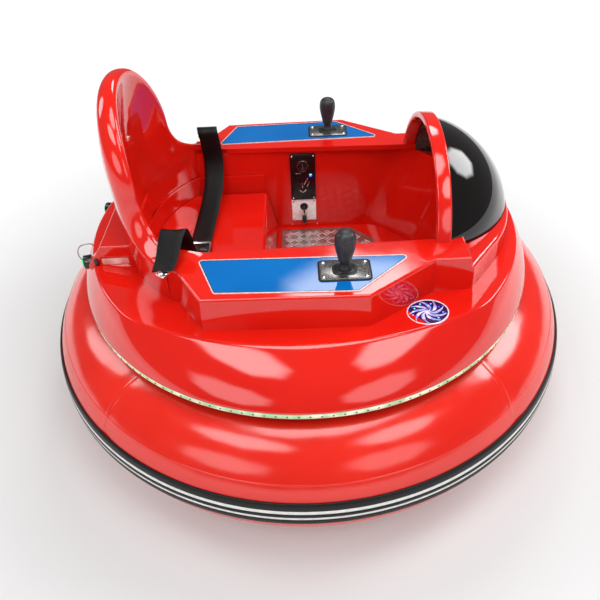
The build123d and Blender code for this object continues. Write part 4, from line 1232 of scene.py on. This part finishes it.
def makeTread():
    outline = insetOutline(tread["outline"], 0, 4, 3)
    inner = insetOutline(tread["outline"], 0.8, 4, 3)
    layers = [(outline, tread["low"]), (outline, tread["high"] - 0.6), (inner, tread["high"])]
    plate = lofted(ground, layers)
    newPiece("treadPlate", *plate, treadAluminium, "tread_aluminium", ("tread_plate",), sharp=30)
    long, wide, rise = tread["bar"]
    sizes = {
        "Pitch": tread["pitch"] * mm,
        "Length": long * mm,
        "Width": wide * mm,
        "Rise": rise * mm,
        "Corner": tread["corner"] * mm,
        "Columns": tread["columns"],
        "Rows": tread["rows"],
    }
    tree, start, end = newTree("treadBars", sizes)
    pitch, long, wide, rise, corner, columns, rows = (start.outputs[label] for label in sizes)
    spans = []
    for count in (columns, rows):
        gaps = addNode(tree, "ShaderNodeMath", {"operation": "SUBTRACT"}, i0=count, i1=1.0).outputs[0]
        spans.append(addNode(tree, "ShaderNodeMath", {"operation": "MULTIPLY"}, i0=gaps, i1=pitch).outputs[0])
    ends = {"Size_X": spans[0], "Size_Y": spans[1]}
    spots = addNode(tree, "GeometryNodeMeshGrid", Vertices_X=columns, Vertices_Y=rows, **ends)
    pill = addNode(tree, "GeometryNodeMeshUVSphere", Segments=8, Rings=4, Radius=1.0)
    shape = addNode(tree, "ShaderNodeCombineXYZ", X=long, Y=wide, Z=rise)
    bar = addNode(tree, "GeometryNodeTransform", Geometry=pill.outputs[0], Scale=shape.outputs[0])
    spread = tread["spread"] * mm
    three = {"Count": 3, "Offset": (0, spread, 0), "Start Location": (0, -spread, 0)}
    line = addNode(tree, "GeometryNodeMeshLine", three).outputs[0]
    cell = addNode(tree, "GeometryNodeInstanceOnPoints", Points=line, Instance=bar.outputs[0])
    place = addNode(tree, "GeometryNodeInputPosition").outputs[0]
    x, y, _ = addNode(tree, "ShaderNodeSeparateXYZ", Vector=place).outputs
    # Every second cell is turned by a right angle
    steps = []
    for side in (x, y):
        step = addNode(tree, "ShaderNodeMath", {"operation": "DIVIDE"}, i0=side, i1=pitch).outputs[0]
        step = addNode(tree, "ShaderNodeMath", {"operation": "ADD"}, i0=step, i1=0.25).outputs[0]
        steps.append(addNode(tree, "ShaderNodeMath", {"operation": "ROUND"}, i0=step).outputs[0])
    both = addNode(tree, "ShaderNodeMath", {"operation": "ADD"}, i0=steps[0], i1=steps[1]).outputs[0]
    odd = addNode(tree, "ShaderNodeMath", {"operation": "FLOORED_MODULO"}, i0=both, i1=2.0).outputs[0]
    turns = {"i1": math.pi / 2, "i2": math.pi / 4}
    turn = addNode(tree, "ShaderNodeMath", {"operation": "MULTIPLY_ADD"}, i0=odd, **turns).outputs[0]
    angle = addNode(tree, "ShaderNodeCombineXYZ", Z=turn)
    # Cells over the clipped corners stay empty
    aside = addNode(tree, "ShaderNodeMath", {"operation": "ABSOLUTE"}, i0=y).outputs[0]
    reach = addNode(tree, "ShaderNodeMath", {"operation": "ADD"}, i0=x, i1=aside).outputs[0]
    inside = addNode(tree, "ShaderNodeMath", {"operation": "LESS_THAN"}, i0=reach, i1=corner).outputs[0]
    placed = addNode(
        tree,
        "GeometryNodeInstanceOnPoints",
        Points=spots.outputs[0],
        Selection=inside,
        Instance=cell.outputs[0],
        Rotation=angle.outputs[0],
    )
    reaches = [x for x, _ in tread["outline"]]
    middle = ((min(reaches) + max(reaches)) / 2 * mm, 0, tread["high"] * mm)
    moved = addNode(tree, "GeometryNodeTransform", Geometry=placed.outputs[0], Translation=middle)
    endTree(tree, moved.outputs[0], end, barAluminium)
    bars = bakeTree("treadBars", tree, sizes)
    bars.data.polygons.foreach_set("use_smooth", [True] * len(bars.data.polygons))


makeTread()
print("cockpit fittings made")

# Seat belt: webbing ribbons from the armrests over the rim to the buckle
webbing = {"width": 48.0, "thickness": 1.9, "edge": 0.8}

# The strap's middle, and the direction of its width there
rightStrap = (
    ((-264, -268, 460), (0.8, -0.6, 0.1)),
    ((-262, -258, 464), (0.84, -0.54, 0.1)),
    ((-258, -246, 471), (0.9, -0.42, 0.05)),
    ((-253, -230, 486), (0.94, -0.32, 0)),
    ((-248, -214, 502), (0.97, -0.2, 0)),
    ((-243, -200, 505), (1, 0, 0)),
    ((-240, -191, 486), (1, 0, 0)),
    ((-238, -182, 446), (1, 0, 0)),
    ((-236, -152, 386), (1, 0, 0)),
    ((-236, -118, 356), (1, 0, 0)),
    ((-236, -88, 350), (1, 0, 0)),
)

# The left strap's width runs along X all the way
leftStrap = (
    (-234, 266, 462), (-232, 262, 476), (-229, 244, 499), (-225, 222, 511), (-222, 205, 506),
    (-219, 203, 480), (-217, 200, 430), (-220, 168, 384), (-226, 110, 362), (-232, 40, 352), (-236, -30, 349),
)


def ribbon(name, spots, sides, instead):
    # sides are the directions of the strap's width at the spots
    line = smoothPath(spots, 10)
    turns = smoothPath(sides, 10)
    half, thick = webbing["width"] / 2, webbing["thickness"] / 2
    outer, under = half - webbing["edge"], thick * 0.9
    shape = (
        (-half, 0), (-outer, under), (-half / 2, thick), (half / 2, thick), (outer, under),
        (half, 0), (outer, -under), (half / 2, -thick), (-half / 2, -thick), (-outer, -under),
    )
    points, along, run = [], [], 0.0
    for i, spot in enumerate(line):
        way = (line[min(i + 1, len(line) - 1)] - line[max(i - 1, 0)]).normalized()
        side = (turns[i] - way * turns[i].dot(way)).normalized()
        normal = way.cross(side)
        run += (spot - line[i - 1]).length if i else 0
        for across, lift in shape:
            points.append(tuple(spot + side * across + normal * lift))
            along.append((run * mm, across * mm))
    count = len(shape)
    faces = gridFaces(len(line), count, wrapColumns=True) + endCaps(len(line), count)
    strap = newPiece(name, points, faces, strapBlack, "belt_webbing", instead, sharp=70, weld=0.0001)
    layer = strap.data.uv_layers.new(name="weave")
    for loop in strap.data.loops:
        layer.data[loop.index].uv = along[loop.vertex_index]


def makeStraps():
    ribbon("strapRight", *zip(*rightStrap), ("seat_belt_right",))
    ribbon("strapLeft", leftStrap, [(1, 0, 0)] * len(leftStrap), ("seat_belt_left",))


# Buckle: layers are width, length, corner and height over its middle
buckle = {
    "spot": (-236, -59.4, 348.5),
    "out": (0, 0.03, 1),
    "shell": ((48, 54, 5, -7.2), (51.5, 57.5, 6.5, -5), (52, 58, 7, 1), (50, 56, 6, 4.5), (44, 50, 5, 6.2)),
    "rim": (
        (51, 57, 6, 4.0), (51, 57, 6, 6.4), (49, 54, 5.5, 7.4),
        (45, 43, 4, 7.4), (43, 40, 4, 6.4), (43, 40, 4, 4.0),
    ),
    "lever": ((40, 30, 3, 5.5), (40, 30, 3, 7.6), (38, 28, 3, 8.4)),
}


def makeBuckle():
    place = Place(buckle["spot"], buckle["out"], (1, 0, 0))
    stacks = (buckle["shell"], buckle["rim"], buckle["lever"])
    shell, rim, lever = ([(roundedBox(*box), high) for *box, high in stack] for stack in stacks)
    newPiece("buckleShell", *lofted(place, shell), satinBlack, "buckle_black", ("belt_buckle",), sharp=35)
    points = [place.at(u, v, w) for outline, w in rim for u, v in outline]
    faces = gridFaces(len(rim), len(rim[0][0]), wrapRows=True, wrapColumns=True)
    newPiece("buckleFrame", points, faces, chrome, "key_chrome", sharp=30)
    lever = lofted(Place(place.at(0, 4, 0), place.w, place.u), lever)
    newPiece("buckleLever", *lever, satinBlack, "buckle_black", sharp=35)


# Anchors on the armrests: plate's middle, its direction and length, and its bolt
anchors = (
    ((-234, 276, 457.2), (1, 0, 0), 40, (-234, 280, 459.6)),
    ((-264, -272, 457.2), (0.8, -0.6, 0), 22, (-266, -275, 459.6)),
)


def makeAnchors():
    plates = [slab(Place(spot, (0, 0, 1), way), size, 18, 5, 0, 2.6, 0.8) for spot, way, size, _ in anchors]
    newPiece("anchorPlates", *joined(*plates), chrome, "key_chrome", ("belt_anchors",), sharp=35)
    makeHeads("anchorBolts", [(bolt, (0, 0, 1)) for *_, bolt in anchors], 5.0, 3.2)


makeStraps()
makeBuckle()
makeAnchors()
print("seat belt made")

# Fan lamps on the deck: a bezel round a violet dish with swept pale vanes
fan = {
    "x": 224.0,
    "y": 331.0,
    "height": 389.5,
    "radius": 38.3,
    "vanes": 9,
    "vaneReach": (6.0, 33.5),
    "sweep": 62.0,  # degrees
    # profiles of radius and height; the bezel's radii are from its outer edge inwards
    "dish": ((0, 0.6), (16, 0.5), (36.2, 0.4), (36.6, -3.0), (0, -3.0)),
    "bezel": ((0, -3), (0, 0.9), (0.6, 1.7), (1.5, 1.8), (2.1, 1.3), (2.3, -1)),
    "hub": ((0, 2.1), (3.5, 2.0), (5.6, 1.4), (6.4, 0.4), (0, 0.2)),
    "glint": ((0, 1.1), (1.2, 0.9), (1.6, 0.5), (0, 0.4)),
}


def fanPlace(sign):
    # Square to the dished deck
    reach = math.hypot(fan["x"], fan["y"])
    slope = math.atan2(body["rise"], body["band"])
    out = (-math.sin(slope) * fan["x"] / reach, -math.sin(slope) * sign * fan["y"] / reach, math.cos(slope))
    return Place((fan["x"], sign * fan["y"], fan["height"]), out, (1, 0, 0))


def vaneShell(place, turn):
    # One curved blade from the hub to the rim, thin at its ends
    points, rows = [], 10
    near, far = fan["vaneReach"]
    for i in range(rows):
        share = i / (rows - 1)
        radius = near + (far - near) * share
        middle = turn + math.radians(fan["sweep"]) * share**0.8
        half = (0.30 - 0.19 * share) * (0.3 + 0.7 * math.sin(math.pi * min(share + 0.12, 1)))
        for across, lift in ((-1, 0.4), (-0.5, 1.5), (0.1, 1.9), (1, 0.4)):
            angle = middle + across * half
            points.append(place.at(radius * math.cos(angle), radius * math.sin(angle), lift))
    return points, gridFaces(rows, 4, wrapColumns=True) + endCaps(rows, 4)


def glintShells(place):
    # A lamp chip near the rim between the vanes, missing in two places
    shells = []
    for k in range(fan["vanes"]):
        reach = 26 + 2 * (k % 2)
        if (k + reach) % 3 == 0:
            continue
        turn = 2 * math.pi * (k + 0.45) / fan["vanes"] + math.radians(20)
        angle = turn + math.radians(reach * 1.1)
        spot = Place(place.at(reach * math.cos(angle), reach * math.sin(angle), 0), place.w, place.u)
        shells.append(spun(fan["glint"], 12, spot, closed=False))
    return shells


def makeFans():
    for side, sign in (("left", 1), ("right", -1)):
        place = fanPlace(sign)
        dish = spun(fan["dish"], 64, place, closed=False)
        newPiece(f"fanDish_{side}", *dish, dishPurple, "fan_rim", (f"fan_lamp_{side}",))
        bezel = spun([(fan["radius"] - inset, h) for inset, h in fan["bezel"]], 72, place)
        newPiece(f"fanBezel_{side}", *bezel, lensWhite, "fan_rim", sharp=60)
        vanes = [vaneShell(place, 2 * math.pi * k / fan["vanes"]) for k in range(fan["vanes"])]
        newPiece(f"fanVanes_{side}", *joined(*vanes), vaneLight, "fan_vane", (f"fan_vanes_{side}",), sharp=50)
        newPiece(f"fanHub_{side}", *spun(fan["hub"], 32, place, closed=False), vaneLight, "fan_vane")
        newPiece(f"fanGlints_{side}", *joined(*glintShells(place)), glintBlue, "fan_vane", sharp=60)


makeFans()

# Tail lamps: black housings on the skirt with a green ring round a white lens
tailLamp = {
    "angle": 12.6,  # degrees from the tail
    "drop": 29.0,  # under the crease
    "proud": 9.0,
    "housing": ((0, 0.4), (11, 0.4), (14.2, 0.2), (15, -0.8), (15, -16), (0, -16)),
    "ring": ((7, 0.2), (7.4, 2.4), (9.4, 3.4), (11.4, 2.4), (12, 0.2)),
    "lens": ((0, 3.6), (4, 3.3), (6.6, 2.2), (7.2, 0.2), (0, 0.2)),
}


def makeTailLamps():
    rise = 1 - tailLamp["drop"] / (body["crease"] - body["low"])
    reach = skirtSpot(body["quadrant"][0][1], rise)[0] + tailLamp["proud"]
    housings, rings, lenses = [], [], []
    for sign in (1, -1):
        turn = math.radians(tailLamp["angle"])
        out = Vector((-math.cos(turn), sign * math.sin(turn), 0))
        place = Place(out * reach + Vector((0, 0, body["crease"] - tailLamp["drop"])), out, (0, 0, 1))
        housings.append(spun(tailLamp["housing"], 40, place, closed=False))
        rings.append(spun(tailLamp["ring"], 40, place))
        lenses.append(spun(tailLamp["lens"], 32, place, closed=False))
    newPiece("lampHousings", *joined(*housings), satinBlack, "tail_housing", ("tail_lamps",), sharp=45)
    newPiece("lampRings", *joined(*rings), glowGreen, "tail_green", ("tail_lenses",), sharp=60)
    newPiece("lampLenses", *joined(*lenses), glowWhite, "tail_green", sharp=60)


makeTailLamps()
print("lamps made")

# The frame's nodes that keep their shape, and the finish that each gets
nodeMaterials = {
    gelcoatRed: ("cockpit_tub",),
    blueFilm: ("armrest_panel_left", "armrest_panel_right"),
    satinBlack: ("dome_liner",),
    gasketRubber: ("ring_straps",),
    tyreRubber: ("drive_tyre_left", "drive_tyre_right", "caster_wheel_front", "caster_wheel_rear"),
    powderCoat: ("chassis_frame", "motor_brackets", "tray"),
    batteryCase: ("battery",),
    motorEnamel: ("drive_motor_left", "drive_motor_right"),
    zincPlate: ("caster_mounts", "caster_fork_front", "caster_fork_rear"),
    castHub: ("drive_hub_left", "drive_hub_right"),
}

for material, names in nodeMaterials.items():
    for name in names:
        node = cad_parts[name]
        node.data.materials.clear()
        node.data.materials.append(material)
print("materials on the frame's nodes")

# Studio: a white floor, soft boxes where the photograph's reflections place them, a dim sky
studio = {
    "floorSize": 30.0,
    "floorColour": "#BDBDBD",
    "glowColour": "#FFFFFF",
    "floorGlowWithPaintedShade": (0.2, 0.9),  # near the car and far from it: the low glow near the car is painted shade round it
    "glowReach": (0.7, 2.2),  # metres from the car's middle
    "skyColour": "#FFFFFF",
    "skyStrength": 0.17,
    "level": 1.12,  # all boxes' light against their watts
    "aim": 0.3,  # height that the boxes face
    "softness": 0.35,  # share of a box over which its light fades
    "corner": 1.42,  # a box's half width and half height added up, where its corners are cut
    # azimuth from the camera's side towards +X and elevation in degrees, distance, width, height, watts
    "boxes": (
        ((-36, 54), 3.0, 1.9, 1.0, 30),
        ((-32, 22), 3.4, 2.1, 1.5, 22),
        ((44, 52), 3.0, 1.5, 1.1, 24),
        ((28, 24), 3.4, 1.9, 1.6, 18),
        ((20, 82), 2.6, 2.2, 1.3, 45),
        ((104, 38), 2.6, 1.3, 1.2, 40),
        ((168, 50), 3.4, 1.5, 1.1, 36),
        ((-108, 34), 3.2, 1.0, 2.0, 26),
    ),
}


def fadeLight(data):
    # An eight-sided box whose light fades towards its edges, as a real one's does
    data.use_nodes = True
    tree = data.node_tree
    place = addNode(tree, "ShaderNodeNewGeometry").outputs["Parametric"]
    split = addNode(tree, "ShaderNodeSeparateXYZ", Vector=place)
    aside = []
    for axis in ("X", "Y"):
        centred = {"i0": split.outputs[axis], "i1": 2.0, "i2": -1.0}
        side = addNode(tree, "ShaderNodeMath", {"operation": "MULTIPLY_ADD"}, **centred).outputs[0]
        aside.append(addNode(tree, "ShaderNodeMath", {"operation": "ABSOLUTE"}, i0=side).outputs[0])
    sides = {"i0": aside[0], "i1": aside[1]}
    both = addNode(tree, "ShaderNodeMath", {"operation": "ADD"}, **sides).outputs[0]
    corner = addNode(tree, "ShaderNodeMath", {"operation": "DIVIDE"}, i0=both, i1=studio["corner"]).outputs[0]
    edge = addNode(tree, "ShaderNodeMath", {"operation": "MAXIMUM"}, **sides).outputs[0]
    reach = addNode(tree, "ShaderNodeMath", {"operation": "MAXIMUM"}, i0=edge, i1=corner).outputs[0]
    rest = addNode(tree, "ShaderNodeMath", {"operation": "SUBTRACT"}, i0=1.0, i1=reach).outputs[0]
    fade = addNode(tree, "ShaderNodeMath", {"operation": "DIVIDE"}, i0=rest, i1=studio["softness"]).outputs[0]
    smooth = addNode(tree, "ShaderNodeMapRange", {"interpolation_type": "SMOOTHSTEP"}, Value=fade)
    feed(tree, tree.nodes["Emission"], Strength=smooth.outputs[0])


def makeStudio():
    half = studio["floorSize"] / 2
    mesh = bpy.data.meshes.new("floor")
    corners = [(-half, -half, 0), (half, -half, 0), (half, half, 0), (-half, half, 0)]
    mesh.from_pydata(corners, [], [(0, 1, 2, 3)])
    floor = bpy.data.objects.new("floor", mesh)
    bpy.context.scene.collection.objects.link(floor)
    # A matt floor with painted shade: its glow is dimmer near the car and brighter away from it
    material, tree, shader = newMaterial("paperFloor", Roughness=0.7)
    reach = addNode(tree, "ShaderNodeVectorMath", {"operation": "LENGTH"}, i0=objectSpace(tree))
    near, far = studio["glowReach"]
    low, high = studio["floorGlowWithPaintedShade"]
    settings = {"From Min": near, "From Max": far, "To Min": low, "To Max": high}
    # Painted shade: the floor's glow falls off towards the car's middle
    glow = addNode(tree, "ShaderNodeMapRange", settings, Value=reach.outputs["Value"]).outputs[0]
    colour, light = fromHex(studio["floorColour"]), fromHex(studio["glowColour"])
    feed(tree, shader, Base_Color=colour, Emission_Color=light, Emission_Strength=glow)
    mesh.materials.append(material)
    for i, ((azimuth, elevation), distance, width, height, watts) in enumerate(studio["boxes"]):
        data = bpy.data.lights.new(f"softBox{i}", "AREA")
        data.shape = "RECTANGLE"
        data.size = width
        data.size_y = height
        data.energy = watts * studio["level"]
        fadeLight(data)
        lamp = bpy.data.objects.new(f"softBox{i}", data)
        bpy.context.scene.collection.objects.link(lamp)
        az, el = math.radians(azimuth), math.radians(elevation)
        way = Vector((math.sin(az) * math.cos(el), -math.cos(az) * math.cos(el), math.sin(el)))
        lamp.location = way * distance + Vector((0, 0, studio["aim"]))
        lamp.rotation_euler = way.to_track_quat("Z", "Y").to_euler()
    world = bpy.data.worlds.new("studio")
    world.use_nodes = True
    sky = world.node_tree.nodes["Background"]
    feed(world.node_tree, sky, Color=fromHex(studio["skyColour"]), Strength=studio["skyStrength"])
    bpy.context.scene.world = world
    bpy.context.scene.view_settings.view_transform = "Standard"


makeStudio()
print("studio made")
